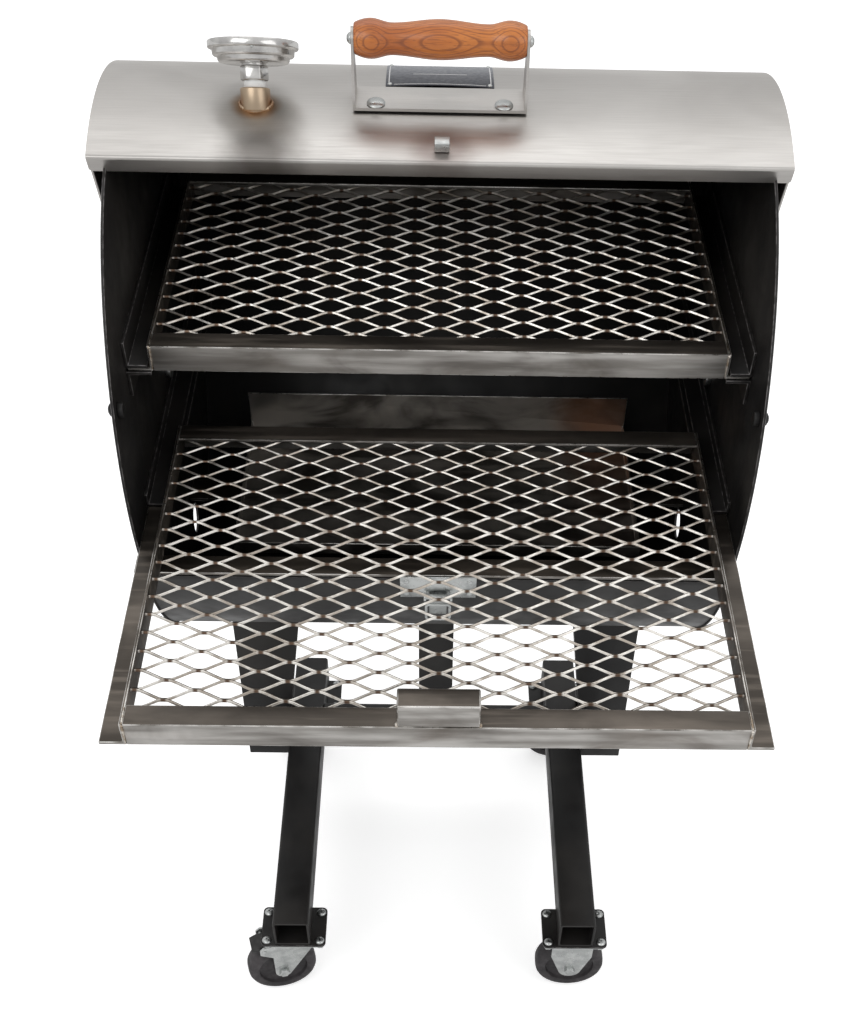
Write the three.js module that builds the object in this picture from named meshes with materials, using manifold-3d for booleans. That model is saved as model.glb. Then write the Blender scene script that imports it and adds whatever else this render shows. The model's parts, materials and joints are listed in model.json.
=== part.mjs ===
// Front-opening barrel smoker on a four-caster cart, lid rolled back and lower grate pulled out.
// Millimetres, +Z up, +X to the right of someone standing at the front, front towards -Y.
// Every size below is measured from the floor under the middle of the barrel's axis; the finished
// group is then moved so that its origin is on the floor under the middle of its bounding box.
import * as THREE from "three";
import { mergeVertices } from "three/addons/utils/BufferGeometryUtils.js";
import Module from "manifold-3d";

const wasm = await Module();
wasm.setup();

// ---------------------------------------------------------------- driving dimensions

const GAP = 0.3; // clearance between pieces that touch on the real object
const GRID = 1 / 1024; // grid that joined and cut pieces are rounded to
const FACET_DEGREES = 5; // step of the large arcs
const CIRCLE_STEPS = 16; // sides of a small circle
const BOLT_STEPS = 12; // sides of a bolt
const SIDES = { left: -1, right: 1 };

// Barrel: two round end walls and a sheet rolled round their lower and rear part.
// Angles about the barrel axis run from the front horizontal up and over the top.
const AXIS_HEIGHT = 810;
const WALL_RADIUS = 275;
const WALL_THICKNESS = 3;
const WALL_OUTER_X = 314.5;
const WALL_INNER_X = WALL_OUTER_X - WALL_THICKNESS;
const SHELL_INNER = 275.6;
const SHELL_OUTER = 278.6;
const SHELL_FRONT_DEGREES = -15.5;
const SHELL_REAR_DEGREES = 110 - 360;
const CRADLE_RADIUS = SHELL_OUTER + 0.8; // what stands under the shell is hollowed to this

const VENT = { y: 23, z: -217, radius: 18 }; // round air hole low in each end wall
const SILL = { front: -268, back: -240, top: -70, bottom: -96, halfLength: 324, thickness: 3 };

// Drip pan, with a low lip in front and a tall one behind, on a flat bar across the barrel.
const PAN = { front: -100, back: 150, floor: -175, halfLength: 245, sheet: 2, lip: 15, backLip: 55 };
const PAN_REST = { front: 5, back: 45, thickness: 4 };

// Roll-top lid, concentric with the barrel, shown rolled back.
const LID_INNER = 286;
const LID_OUTER = 288;
const LID_HALF_WIDTH = 327.5;
const LID_LEAD_DEGREES = 68.5;
const LID_TRAIL_DEGREES = 198.5;
const LIP_DEPTH_MIDDLE = 16; // folded lip between the walls
const LIP_DEPTH_ENDS = 12.4; // shallower where it passes over the walls
const LIP_HALF_WIDTH = 310.5;
const END_PLATE_RADIUS = 285.3;
const END_PLATE_X = 324.5;
const END_PLATE_THICKNESS = 2.5;
const HUB_RADIUS = 32;

const PIVOT_RADIUS = 6; // bolt the lid turns on
const STOP_BOLT = { y: -238, z: 99, radius: 4 };
const HOLE_CLEARANCE = 0.4;

// Grates: 1 in steel angle frames with expanded metal inside.
const ANGLE_LEG = 25.4;
const ANGLE_THICKNESS = 3.2;
const GRATE_INNER_X = 284.1;
const LOWER_GRATE = { front: -553, top: 801, depth: 458 };
const UPPER_GRATE = { front: -178, top: 939, depth: 364 };
const LOWER_RUNNER = { front: -210, back: 255, retainerLeg: 14 }; // passes below the pivot nut
const UPPER_RUNNER = { front: -180, back: 190, retainerLeg: 25.4 };
const MESH_PITCH = { across: 112, along: 51.8 };
const MESH_OPENING = { across: 48, along: 20.5 }; // half diagonals of one diamond
const MESH_THICKNESS = 3;
const MESH_GAP = 0.4;
const TAB = { halfWidth: 37.5, height: 25.6, depth: 24 };

// Cart: square tube rails and cross tube, tapered legs.
const TUBE = 50.8;
const TUBE_WALL = 3.2;
const RAIL_X = 203;
const RAIL_BOTTOM = 130.2;
const RAIL_TOP = RAIL_BOTTOM + TUBE;
const RAIL_FRONT = -327;
const RAIL_BACK = 214;
const CROSS_Y = 85.5;
const LEG = {
  front: 48,
  back: 124,
  plate: 4,
  topInner: 176, // half spacing of the inner faces where they meet the shell, at meetHeight
  topOuter: 288,
  meetHeight: 545,
  blankHeight: 600, // before the top is hollowed to the shell
  bottomInner: 228.7,
  bottomOuter: 296,
};

// Casters: 4 in wheels.
const WHEEL_RADIUS = 50.8;
const WHEEL_HALF_WIDTH = 16;
const CASTER_Y = { front: -294, rear: 180 };
const CASTER_PLATE = { halfX: 46.5, halfY: 34.5, bottom: 124, top: 129.9 };
const SWIVEL_TRAIL = 26;
const SWIVEL_DEGREES = { front: 195, rear: 175 }; // which way each left wheel trails
const FORK_INNER = 17.2;
const FORK_OUTER = 20.2;
const AXLE_RADIUS = 4.8;
const BRAKE_PIVOT = { x: 50, z: 107.8, radius: 2.6 };

// Handle, on the lid.
const HANDLE_X = -2;
const HANDLE_DEGREES = 84.8;
const BRACKET = { halfWidth: 81.5, depth: 38, thickness: 2.5, grip: 341, earRadius: 9 };
const BRACKET_BOLT = { x: 60, y: -11, radius: 3 };

// Thermometer, leaning back from the lid so that it faces up at the cook when the lid is shut.
const GAUGE_X = -175;
const GAUGE_BASE_DEGREES = 83.2;
const GAUGE_AXIS_DEGREES = 115;
const POINTER_REST_DEGREES = 150; // turned back from straight up to the low end of the scale

// Latch on the front of the shell.
const LATCH_DEGREES = -18;
const LATCH_PIVOT = { y: -10, z: 287 };
const BAIL_PIVOT = { y: -20, z: 289.4 };

// ---------------------------------------------------------------- finishes

const FINISHES = {
  stainless: { color: 0xb9b4ad, roughness: 0.38, metalness: 1 },
  black_paint: { color: 0x1b1a19, roughness: 0.5, metalness: 0.1 },
  mill_steel: { color: 0x4a4540, roughness: 0.55, metalness: 0.8 },
  bare_steel: { color: 0xa8a29a, roughness: 0.4, metalness: 1 },
  zinc: { color: 0xaeb8bd, roughness: 0.35, metalness: 1 },
  polymer: { color: 0x262426, roughness: 0.6, metalness: 0 },
  wood: { color: 0xb1602b, roughness: 0.5, metalness: 0 },
  enamel: { color: 0x3c3f4a, roughness: 0.35, metalness: 0.3 },
  dial: { color: 0xe8e6e0, roughness: 0.6, metalness: 0 },
  glass: { color: 0xffffff, roughness: 0.05, metalness: 0, transparent: true, opacity: 0.3 },
};

// ---------------------------------------------------------------- geometry helpers

function radians(degrees) {
  return THREE.MathUtils.degToRad(degrees);
}

// A closed geometry as a manifold-3d solid, and back. Vertices are rounded to a fine grid first,
// so that faces meant to be flush are exactly flush.
function solidOf(geometry) {
  const bare = geometry.clone();
  bare.deleteAttribute("normal");
  bare.deleteAttribute("uv");
  const position = bare.attributes.position.array;
  position.forEach((value, i) => {
    position[i] = Math.round(value / GRID) * GRID;
  });
  const merged = mergeVertices(bare, 1e-4);
  const mesh = new wasm.Mesh({
    numProp: 3,
    vertProperties: merged.attributes.position.array,
    triVerts: new Uint32Array(merged.index.array),
  });
  return new wasm.Manifold(mesh);
}

function geometryOf(solid) {
  const mesh = solid.getMesh();
  const geometry = new THREE.BufferGeometry();
  geometry.setAttribute("position", new THREE.BufferAttribute(mesh.vertProperties, 3));
  geometry.setIndex(new THREE.BufferAttribute(mesh.triVerts, 1));
  geometry.computeVertexNormals();
  return geometry;
}

function join(first, ...others) {
  let solid = solidOf(first);
  for (const other of others) {
    solid = solid.add(solidOf(other));
  }
  return geometryOf(solid);
}

function cut(first, ...tools) {
  let solid = solidOf(first);
  for (const tool of tools) {
    solid = solid.subtract(solidOf(tool));
  }
  return geometryOf(solid);
}

function extrude(outline, depth, holes = []) {
  const shape = new THREE.Shape(outline);
  for (const hole of holes) {
    shape.holes.push(new THREE.Path(hole));
  }
  return new THREE.ExtrudeGeometry(shape, { depth, bevelEnabled: false });
}

const X_AXIS = new THREE.Vector3(1, 0, 0);
const Y_AXIS = new THREE.Vector3(0, 1, 0);
const Z_AXIS = new THREE.Vector3(0, 0, 1);

// An outline in (y, z), solid from x = low to x = high.
function alongX(outline, low, high, holes) {
  const geometry = extrude(outline, high - low, holes);
  geometry.applyMatrix4(new THREE.Matrix4().makeBasis(Y_AXIS, Z_AXIS, X_AXIS));
  return geometry.translate(low, 0, 0);
}

// An outline in (x, z), solid from y = low to y = high.
function alongY(outline, low, high, holes) {
  const geometry = extrude(outline, high - low, holes);
  geometry.applyMatrix4(new THREE.Matrix4().makeBasis(X_AXIS, Z_AXIS, Y_AXIS.clone().negate()));
  return geometry.translate(0, high, 0);
}

// An outline in (x, y), solid from z = low to z = high.
function alongZ(outline, low, high, holes) {
  return extrude(outline, high - low, holes).translate(0, 0, low);
}

function box(x0, x1, y0, y1, z0, z1) {
  const geometry = new THREE.BoxGeometry(x1 - x0, y1 - y0, z1 - z0);
  return geometry.translate((x0 + x1) / 2, (y0 + y1) / 2, (z0 + z1) / 2);
}

function points(...pairs) {
  return pairs.map(([a, b]) => new THREE.Vector2(a, b));
}

function arc(x, y, radius, from, to, steps) {
  return Array.from({ length: steps + 1 }, (_, i) => {
    const angle = radians(from + ((to - from) * i) / steps);
    return new THREE.Vector2(x + radius * Math.cos(angle), y + radius * Math.sin(angle));
  });
}

function circle(x, y, radius, steps = CIRCLE_STEPS) {
  return arc(x, y, radius, 0, 360, steps).slice(0, steps);
}

function rectangle(x0, x1, y0, y1) {
  return points([x0, y0], [x1, y0], [x1, y1], [x0, y1]);
}

// Outline of a steel angle: its outer corner, the far end of each flange, and the thickness.
function angleOutline(corner, flangeEnd, legEnd, thickness) {
  const [x, z] = corner;
  const innerX = x + Math.sign(flangeEnd - x) * thickness;
  const innerZ = z + Math.sign(legEnd - z) * thickness;
  return points([x, z], [flangeEnd, z], [flangeEnd, innerZ], [innerX, innerZ], [innerX, legEnd], [x, legEnd]);
}

function mirrored(outline, side) {
  return outline.map((p) => new THREE.Vector2(p.x * side, p.y));
}

function squareTube(x, y) {
  const half = TUBE / 2;
  const inner = half - TUBE_WALL;
  return {
    outline: rectangle(x - half, x + half, y - half, y + half),
    hole: rectangle(x - inner, x + inner, y - inner, y + inner),
  };
}

// A turned piece: (radius, height) pairs from the axis round to the axis, standing on +Z.
function turned(profile, steps = CIRCLE_STEPS) {
  return new THREE.LatheGeometry(points(...profile), steps).rotateX(Math.PI / 2);
}

// The same, lying along +X or -X.
function turnedAlongX(profile, side, steps = CIRCLE_STEPS) {
  return turned(profile, steps).rotateY((side * Math.PI) / 2);
}

function rod(radius, low, high, steps = CIRCLE_STEPS) {
  return turned([[0, low], [radius, low], [radius, high], [0, high]], steps);
}

// Point and arc on a circle about the barrel axis, in (y, z) from that axis.
function rimPoint(radius, degrees) {
  const angle = radians(degrees);
  return new THREE.Vector2(-radius * Math.cos(angle), radius * Math.sin(angle));
}

function rimArc(radius, from, to) {
  const steps = Math.round(Math.abs(to - from) / FACET_DEGREES);
  return Array.from({ length: steps + 1 }, (_, i) => rimPoint(radius, from + ((to - from) * i) / steps));
}

function rolledSheet(inner, outer, from, to, halfWidth) {
  const outline = [...rimArc(outer, from, to), ...rimArc(inner, to, from)];
  return alongX(outline, -halfWidth, halfWidth);
}

// A span of x between two distances from the middle, on one side of it.
function span(side, near, far) {
  return side < 0 ? [-far, -near] : [near, far];
}

function piece(parent, name, geometry, finish) {
  const mesh = new THREE.Mesh(geometry, new THREE.MeshStandardMaterial(FINISHES[finish]));
  mesh.name = name;
  parent.add(mesh);
}

// A group whose +Z points out of the barrel at the given angle and whose +Y runs on over the top.
function radialGroup(parent, x, degrees) {
  const group = new THREE.Group();
  group.position.x = x;
  group.rotation.x = radians(90 - degrees);
  parent.add(group);
  return group;
}

function placedGroup(parent, x, y, z) {
  const group = new THREE.Group();
  group.position.set(x, y, z);
  parent.add(group);
  return group;
}

const smoker = new THREE.Group();
const barrel = placedGroup(smoker, 0, 0, AXIS_HEIGHT);
const lid = new THREE.Group();
barrel.add(lid);

// ---------------------------------------------------------------- barrel

function sillOutline(grow) {
  return points(
    [SILL.front - 10 * grow, SILL.top + grow],
    [SILL.back + grow, SILL.top + grow],
    [SILL.back + grow, SILL.bottom - grow],
    [SILL.back - SILL.thickness - grow, SILL.bottom - grow],
    [SILL.back - SILL.thickness - grow, SILL.top - SILL.thickness - grow],
    [SILL.front - 10 * grow, SILL.top - SILL.thickness - grow],
  );
}

function addWalls() {
  for (const [name, side] of Object.entries(SIDES)) {
    const [low, high] = span(side, WALL_INNER_X, WALL_OUTER_X);
    const holes = [
      circle(VENT.y, VENT.z, VENT.radius),
      circle(0, 0, PIVOT_RADIUS + HOLE_CLEARANCE),
      circle(STOP_BOLT.y, STOP_BOLT.z, STOP_BOLT.radius + HOLE_CLEARANCE, BOLT_STEPS),
    ];
    const disc = alongX(rimArc(WALL_RADIUS, 0, 360).slice(1), low, high, holes);
    const notch = alongX(sillOutline(GAP), low - 5, high + 5);
    piece(barrel, `${name}_wall`, cut(disc, notch), "black_paint");
  }
}

function addShell() {
  const sheet = rolledSheet(SHELL_INNER, SHELL_OUTER, SHELL_FRONT_DEGREES, SHELL_REAR_DEGREES, WALL_OUTER_X);
  const drain = rod(20, -SHELL_OUTER - 10, -SHELL_INNER + 40).translate(0, CROSS_Y, 0);
  piece(barrel, "barrel_shell", cut(sheet, drain), "black_paint");
  piece(barrel, "front_sill", alongX(sillOutline(0), -SILL.halfLength, SILL.halfLength), "mill_steel");
}

function addBolts() {
  for (const [name, side] of Object.entries(SIDES)) {
    const plateInside = END_PLATE_X - GAP;
    const headBase = END_PLATE_X + END_PLATE_THICKNESS + GAP;
    const pivot = [
      [0, 305],
      [9.5, 305],
      [9.5, WALL_INNER_X - GAP],
      [PIVOT_RADIUS, WALL_INNER_X - GAP],
      [PIVOT_RADIUS, WALL_OUTER_X + GAP],
      [12, WALL_OUTER_X + GAP],
      [12, plateInside],
      [PIVOT_RADIUS, plateInside],
      [PIVOT_RADIUS, headBase],
      [10.5, headBase],
      [10.5, headBase + 4],
      [8, headBase + 6.5],
      [0, headBase + 6.5],
    ];
    piece(barrel, `${name}_pivot_bolt`, turnedAlongX(pivot, side, BOLT_STEPS), "zinc");
    const stop = [
      [0, 305.5],
      [7, 305.5],
      [7, WALL_INNER_X - GAP],
      [STOP_BOLT.radius, WALL_INNER_X - GAP],
      [STOP_BOLT.radius, WALL_OUTER_X + GAP],
      [7, WALL_OUTER_X + GAP],
      [6.2, WALL_OUTER_X + 4],
      [3.5, WALL_OUTER_X + 6],
      [0, WALL_OUTER_X + 6.6],
    ];
    const stopBolt = turnedAlongX(stop, side, BOLT_STEPS).translate(0, STOP_BOLT.y, STOP_BOLT.z);
    piece(barrel, `${name}_stop_bolt`, stopBolt, "black_paint");
  }
}

// Each grate's side flanges slide between a runner below and a retainer above.
function addRunners(level, grate, runner) {
  const wallSide = WALL_INNER_X - GAP;
  const flangeBottom = grate.top - ANGLE_LEG;
  const flangeTop = flangeBottom + ANGLE_THICKNESS;
  const runnerTop = flangeBottom - 0.4;
  const retainerBottom = flangeTop + 0.5;
  for (const [name, side] of Object.entries(SIDES)) {
    const under = angleOutline([wallSide, runnerTop], 286.1, runnerTop - ANGLE_LEG, ANGLE_THICKNESS);
    const overTop = retainerBottom + runner.retainerLeg;
    const over = angleOutline([wallSide, retainerBottom], 289.3, overTop, ANGLE_THICKNESS);
    const runnerBar = alongY(mirrored(under, side), runner.front, runner.back);
    const retainerBar = alongY(mirrored(over, side), runner.front, runner.back);
    piece(smoker, `${level}_runner_${name}`, runnerBar, "black_paint");
    piece(smoker, `${level}_retainer_${name}`, retainerBar, "black_paint");
  }
}

function addDripPan() {
  const { front, back, floor, halfLength, sheet, lip, backLip } = PAN;
  const tray = points(
    [front, floor],
    [back, floor],
    [back, floor + backLip],
    [back - sheet, floor + backLip],
    [back - sheet, floor + sheet],
    [front + sheet, floor + sheet],
    [front + sheet, floor + lip],
    [front, floor + lip],
  );
  const ends = Object.values(SIDES).map((side) => {
    const [low, high] = span(side, halfLength - sheet, halfLength);
    return box(low, high, front, back, floor, floor + lip);
  });
  piece(barrel, "drip_pan", join(alongX(tray, -halfLength, halfLength), ...ends), "bare_steel");
  const reach = WALL_INNER_X - GAP;
  const restTop = floor - GAP;
  const rest = box(-reach, reach, PAN_REST.front, PAN_REST.back, restTop - PAN_REST.thickness, restTop);
  piece(barrel, "pan_rest", rest, "mill_steel");
}

// ---------------------------------------------------------------- cart

function cradle(halfLength) {
  return turnedAlongX([[0, -halfLength], [CRADLE_RADIUS, -halfLength], [CRADLE_RADIUS, halfLength], [0, halfLength]], 1, 96)
    .translate(0, 0, AXIS_HEIGHT);
}

function addTubes() {
  for (const [name, side] of Object.entries(SIDES)) {
    const section = squareTube(side * RAIL_X, RAIL_BOTTOM + TUBE / 2);
    piece(smoker, `${name}_rail`, alongY(section.outline, RAIL_FRONT, RAIL_BACK, [section.hole]), "black_paint");
  }
  const crossSection = squareTube(CROSS_Y, RAIL_BOTTOM + TUBE / 2);
  const reach = RAIL_X - TUBE / 2 - GAP;
  piece(smoker, "cross_tube", alongX(crossSection.outline, -reach, reach, [crossSection.hole]), "black_paint");
  const postSection = squareTube(0, CROSS_Y);
  const post = alongZ(postSection.outline, RAIL_TOP + GAP, AXIS_HEIGHT - 240, [postSection.hole]);
  piece(smoker, "drain_tube", cut(post, cradle(60)), "black_paint");
}

// A leg is a tapered box folded from plate, open at the bottom and hollowed to the shell on top.
function legOutline(inset, bottom) {
  const top = LEG.blankHeight;
  const slope = (LEG.bottomInner - LEG.topInner) / (LEG.meetHeight - RAIL_TOP);
  const innerAtTop = LEG.bottomInner - slope * (top - RAIL_TOP);
  return points(
    [LEG.bottomInner + inset, bottom],
    [LEG.bottomOuter - inset, bottom],
    [LEG.topOuter - inset, top],
    [innerAtTop + inset, top],
    [LEG.bottomInner + inset, RAIL_TOP + 2],
  );
}

function addLegs() {
  for (const [name, side] of Object.entries(SIDES)) {
    const outside = alongY(mirrored(legOutline(0, RAIL_BOTTOM), side), LEG.front, LEG.back);
    const hollow = alongY(
      mirrored(legOutline(LEG.plate, RAIL_BOTTOM - 10), side),
      LEG.front + LEG.plate,
      LEG.back - LEG.plate,
    );
    piece(smoker, `${name}_leg`, cut(outside, hollow, cradle(400)), "black_paint");
  }
}

// ---------------------------------------------------------------- casters

function plateBlock() {
  const { halfX, halfY, bottom, top } = CASTER_PLATE;
  return box(-halfX, halfX, -halfY, halfY, bottom, top);
}

function forkSides(outline) {
  return [alongY(outline, FORK_INNER, FORK_OUTER), alongY(outline, -FORK_OUTER, -FORK_INNER)];
}

// Axle with a nut outside each fork plate, along Y at x.
function axle(x) {
  const end = FORK_OUTER + 5.5;
  const nut = FORK_OUTER - 1;
  const profile = [
    [0, -end],
    [8, -end],
    [8, -nut],
    [AXLE_RADIUS, -nut],
    [AXLE_RADIUS, nut],
    [8, nut],
    [8, end],
    [0, end],
  ];
  return turned(profile, BOLT_STEPS).rotateX(-Math.PI / 2).translate(x, 0, WHEEL_RADIUS);
}

function addWheel(parent, name, x) {
  const profile = [
    [5.4, -WHEEL_HALF_WIDTH],
    [14, -WHEEL_HALF_WIDTH],
    [15, -9],
    [34, -9],
    [36, -14.5],
    [46, -14.5],
    [WHEEL_RADIUS, -10],
    [WHEEL_RADIUS, 10],
    [46, 14.5],
    [36, 14.5],
    [34, 9],
    [15, 9],
    [14, WHEEL_HALF_WIDTH],
    [5.4, WHEEL_HALF_WIDTH],
    [5.4, -WHEEL_HALF_WIDTH],
  ];
  const wheel = turned(profile, 24).rotateX(-Math.PI / 2).translate(x, 0, WHEEL_RADIUS);
  piece(parent, name, wheel, "polymer");
}

function addRigidCaster(end) {
  const group = placedGroup(smoker, RAIL_X, CASTER_Y[end], 0);
  const { bottom } = CASTER_PLATE;
  const outline = [
    ...points([30, bottom + 0.5], [-30, bottom + 0.5], [-30, 84]),
    ...arc(0, WHEEL_RADIUS, 17, 205, 335, 8),
    ...points([30, 84]),
  ];
  const crown = box(-30, 30, -FORK_OUTER, FORK_OUTER, bottom - 3, bottom + 0.5);
  const frame = join(plateBlock(), crown, ...forkSides(outline), axle(0));
  piece(group, `${end}_right_caster_frame`, frame, "zinc");
  addWheel(group, `${end}_right_wheel`, 0);
}

function addSwivelCaster(end) {
  const group = placedGroup(smoker, -RAIL_X, CASTER_Y[end], 0);
  const { bottom } = CASTER_PLATE;
  const race = rod(28, bottom - 6, bottom + 0.5, 20);
  const kingpin = turned([[0, 103.5], [9, 103.5], [9, 107], [6, 107], [6, bottom], [0, bottom]]);
  piece(group, `${end}_left_caster_plate`, join(plateBlock(), race, kingpin), "zinc");

  const swivel = new THREE.Group();
  swivel.rotation.z = radians(SWIVEL_DEGREES[end]);
  group.add(swivel);
  const top = bottom - 6 - GAP;
  const outline = [
    ...points([-21, top], [-21, 100]),
    ...arc(SWIVEL_TRAIL, WHEEL_RADIUS, 12.5, 230, 360, 8),
    ...points([SWIVEL_TRAIL + 12.5, 90], [56, 102], [56, 112], [50, top]),
  ];
  const crown = join(box(-21, 40, -FORK_OUTER, FORK_OUTER, top - 3, top), rod(27, top - 3, top, 20));
  const brakePin = rod(BRAKE_PIVOT.radius, -FORK_INNER - 1, FORK_INNER + 1, BOLT_STEPS)
    .rotateX(Math.PI / 2)
    .translate(BRAKE_PIVOT.x, 0, BRAKE_PIVOT.z);
  const body = join(crown, ...forkSides(outline), axle(SWIVEL_TRAIL), brakePin);
  piece(swivel, `${end}_left_caster_fork`, cut(body, rod(6.6, top - 10, top + 10)), "zinc");
  addWheel(swivel, `${end}_left_wheel`, SWIVEL_TRAIL);

  const pedal = points([43, 102.8], [43, 112.8], [56, 112.8], [67, 107], [66, 102.5], [57, 103], [52, 102.8]);
  const pinHole = circle(BRAKE_PIVOT.x, BRAKE_PIVOT.z, BRAKE_PIVOT.radius + HOLE_CLEARANCE, BOLT_STEPS);
  piece(swivel, `${end}_left_brake_pedal`, alongY(pedal, -13, 13, [pinHole]), "polymer");
}

// ---------------------------------------------------------------- lid

// A strip of the lid's folded lip: its leading face lies on the lead angle.
function lipStrip(depth, halfWidth) {
  const strip = box(-halfWidth, halfWidth, 0, 2, LID_OUTER - depth, LID_INNER + 1);
  return strip.rotateX(radians(90 - LID_LEAD_DEGREES));
}

function gaugeAxisAtLid(geometry) {
  const base = rimPoint(LID_OUTER, GAUGE_BASE_DEGREES);
  return geometry.rotateX(radians(90 - GAUGE_AXIS_DEGREES)).translate(GAUGE_X, base.x, base.y);
}

function addLidSheet() {
  const sheet = rolledSheet(LID_INNER, LID_OUTER, LID_LEAD_DEGREES, LID_TRAIL_DEGREES, LID_HALF_WIDTH);
  const ends = lipStrip(LIP_DEPTH_ENDS, END_PLATE_X - GAP);
  const middle = lipStrip(LIP_DEPTH_MIDDLE, LIP_HALF_WIDTH);
  const probeHole = gaugeAxisAtLid(rod(4.5, -30, 30, 16));
  piece(lid, "lid_sheet", cut(join(sheet, ends, middle), probeHole), "stainless");
}

// The end plates are sectors that meet in a round hub on the pivot bolt.
function addLidEnds() {
  const outline = [
    ...rimArc(END_PLATE_RADIUS, LID_LEAD_DEGREES, LID_TRAIL_DEGREES),
    ...rimArc(HUB_RADIUS, LID_TRAIL_DEGREES, LID_LEAD_DEGREES + 360),
  ];
  const hole = circle(0, 0, PIVOT_RADIUS + HOLE_CLEARANCE);
  for (const [name, side] of Object.entries(SIDES)) {
    const [low, high] = span(side, END_PLATE_X, END_PLATE_X + END_PLATE_THICKNESS);
    piece(lid, `lid_end_${name}`, alongX(outline, low, high, [hole]), "stainless");
  }
}

// Local z is the distance from the barrel axis, local y runs back over the lid.
function addHandle() {
  const group = radialGroup(lid, HANDLE_X, HANDLE_DEGREES);
  const bottom = LID_OUTER + 0.9;
  const half = BRACKET.depth / 2;
  const { halfWidth, thickness, grip, earRadius } = BRACKET;
  const ear = [...points([half, bottom], [half, bottom + 12]), ...arc(0, grip, earRadius, 0, 180, 10)];
  ear.push(...points([-half, bottom + 12], [-half, bottom]));
  const rodHole = circle(0, grip, 3 + HOLE_CLEARANCE, BOLT_STEPS);
  const ears = Object.values(SIDES).map((side) => {
    const [low, high] = span(side, halfWidth - thickness, halfWidth);
    return alongX(ear, low, high, [rodHole]);
  });
  const base = box(-halfWidth, halfWidth, -half, half, bottom, bottom + thickness);
  const boltHoles = Object.values(SIDES).map((side) =>
    rod(BRACKET_BOLT.radius + HOLE_CLEARANCE, bottom - 5, bottom + 10, BOLT_STEPS)
      .translate(side * BRACKET_BOLT.x, BRACKET_BOLT.y, 0),
  );
  piece(group, "handle_bracket", cut(join(base, ...ears), ...boltHoles), "stainless");

  for (const [name, side] of Object.entries(SIDES)) {
    const head = bottom + thickness + GAP;
    const profile = [
      [0, bottom + 0.2],
      [BRACKET_BOLT.radius, bottom + 0.2],
      [BRACKET_BOLT.radius, head],
      [7.2, head],
      [6.4, head + 2.4],
      [3.6, head + 3.8],
      [0, head + 4.2],
    ];
    const bolt = turned(profile, BOLT_STEPS).translate(side * BRACKET_BOLT.x, BRACKET_BOLT.y, 0);
    piece(group, `bracket_bolt_${name}`, bolt, "zinc");
  }

  const gripHalf = halfWidth - thickness - GAP;
  const wood = [[3.5, -gripHalf]];
  const steps = 14;
  for (let i = 0; i <= steps; i += 1) {
    const x = -gripHalf + (2 * gripHalf * i) / steps;
    wood.push([gripRadius(x, gripHalf), x]);
  }
  wood.push([3.5, gripHalf], [3.5, -gripHalf]);
  piece(group, "handle_grip", turnedAlongX(wood, 1).translate(0, 0, grip), "wood");

  const nut = halfWidth + GAP;
  const screw = [[0, -nut - 5], [3.4, -nut - 4.4], [5.6, -nut - 2], [5.6, -nut], [3, -nut]];
  screw.push([3, nut], [5.6, nut], [5.6, nut + 2], [3.4, nut + 4.4], [0, nut + 5]);
  piece(group, "grip_rod", turnedAlongX(screw, 1, BOLT_STEPS).translate(0, 0, grip), "zinc");
}

// The turned grip swells in the middle and again near each end, with a neck between.
function gripRadius(x, halfLength) {
  const neck = 44;
  const bulb = 63;
  const distance = Math.abs(x);
  if (distance < neck) {
    return 13.75 + 1.55 * Math.cos((Math.PI * distance) / neck);
  }
  if (distance < bulb) {
    return 13.75 - 1.55 * Math.cos((Math.PI * (distance - neck)) / (bulb - neck));
  }
  const past = (distance - bulb) / (halfLength - bulb);
  return 15.3 - 3.6 * past * past;
}

function addNamePlate() {
  const group = radialGroup(lid, HANDLE_X, 98);
  const bottom = LID_OUTER + GAP;
  piece(group, "name_plate", box(-52, 52, -38, 38, bottom, bottom + 1), "enamel");
}

function addKeeper() {
  const group = radialGroup(lid, 0, 72);
  const foot = LID_OUTER + GAP;
  const outline = points(
    [-6, foot],
    [6, foot],
    [6, foot + 2],
    [-4, foot + 2],
    [-4, foot + 7],
    [3, foot + 7],
    [3, foot + 9],
    [-6, foot + 9],
  );
  piece(group, "latch_keeper", alongX(outline, -7, 7), "zinc");
}

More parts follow.
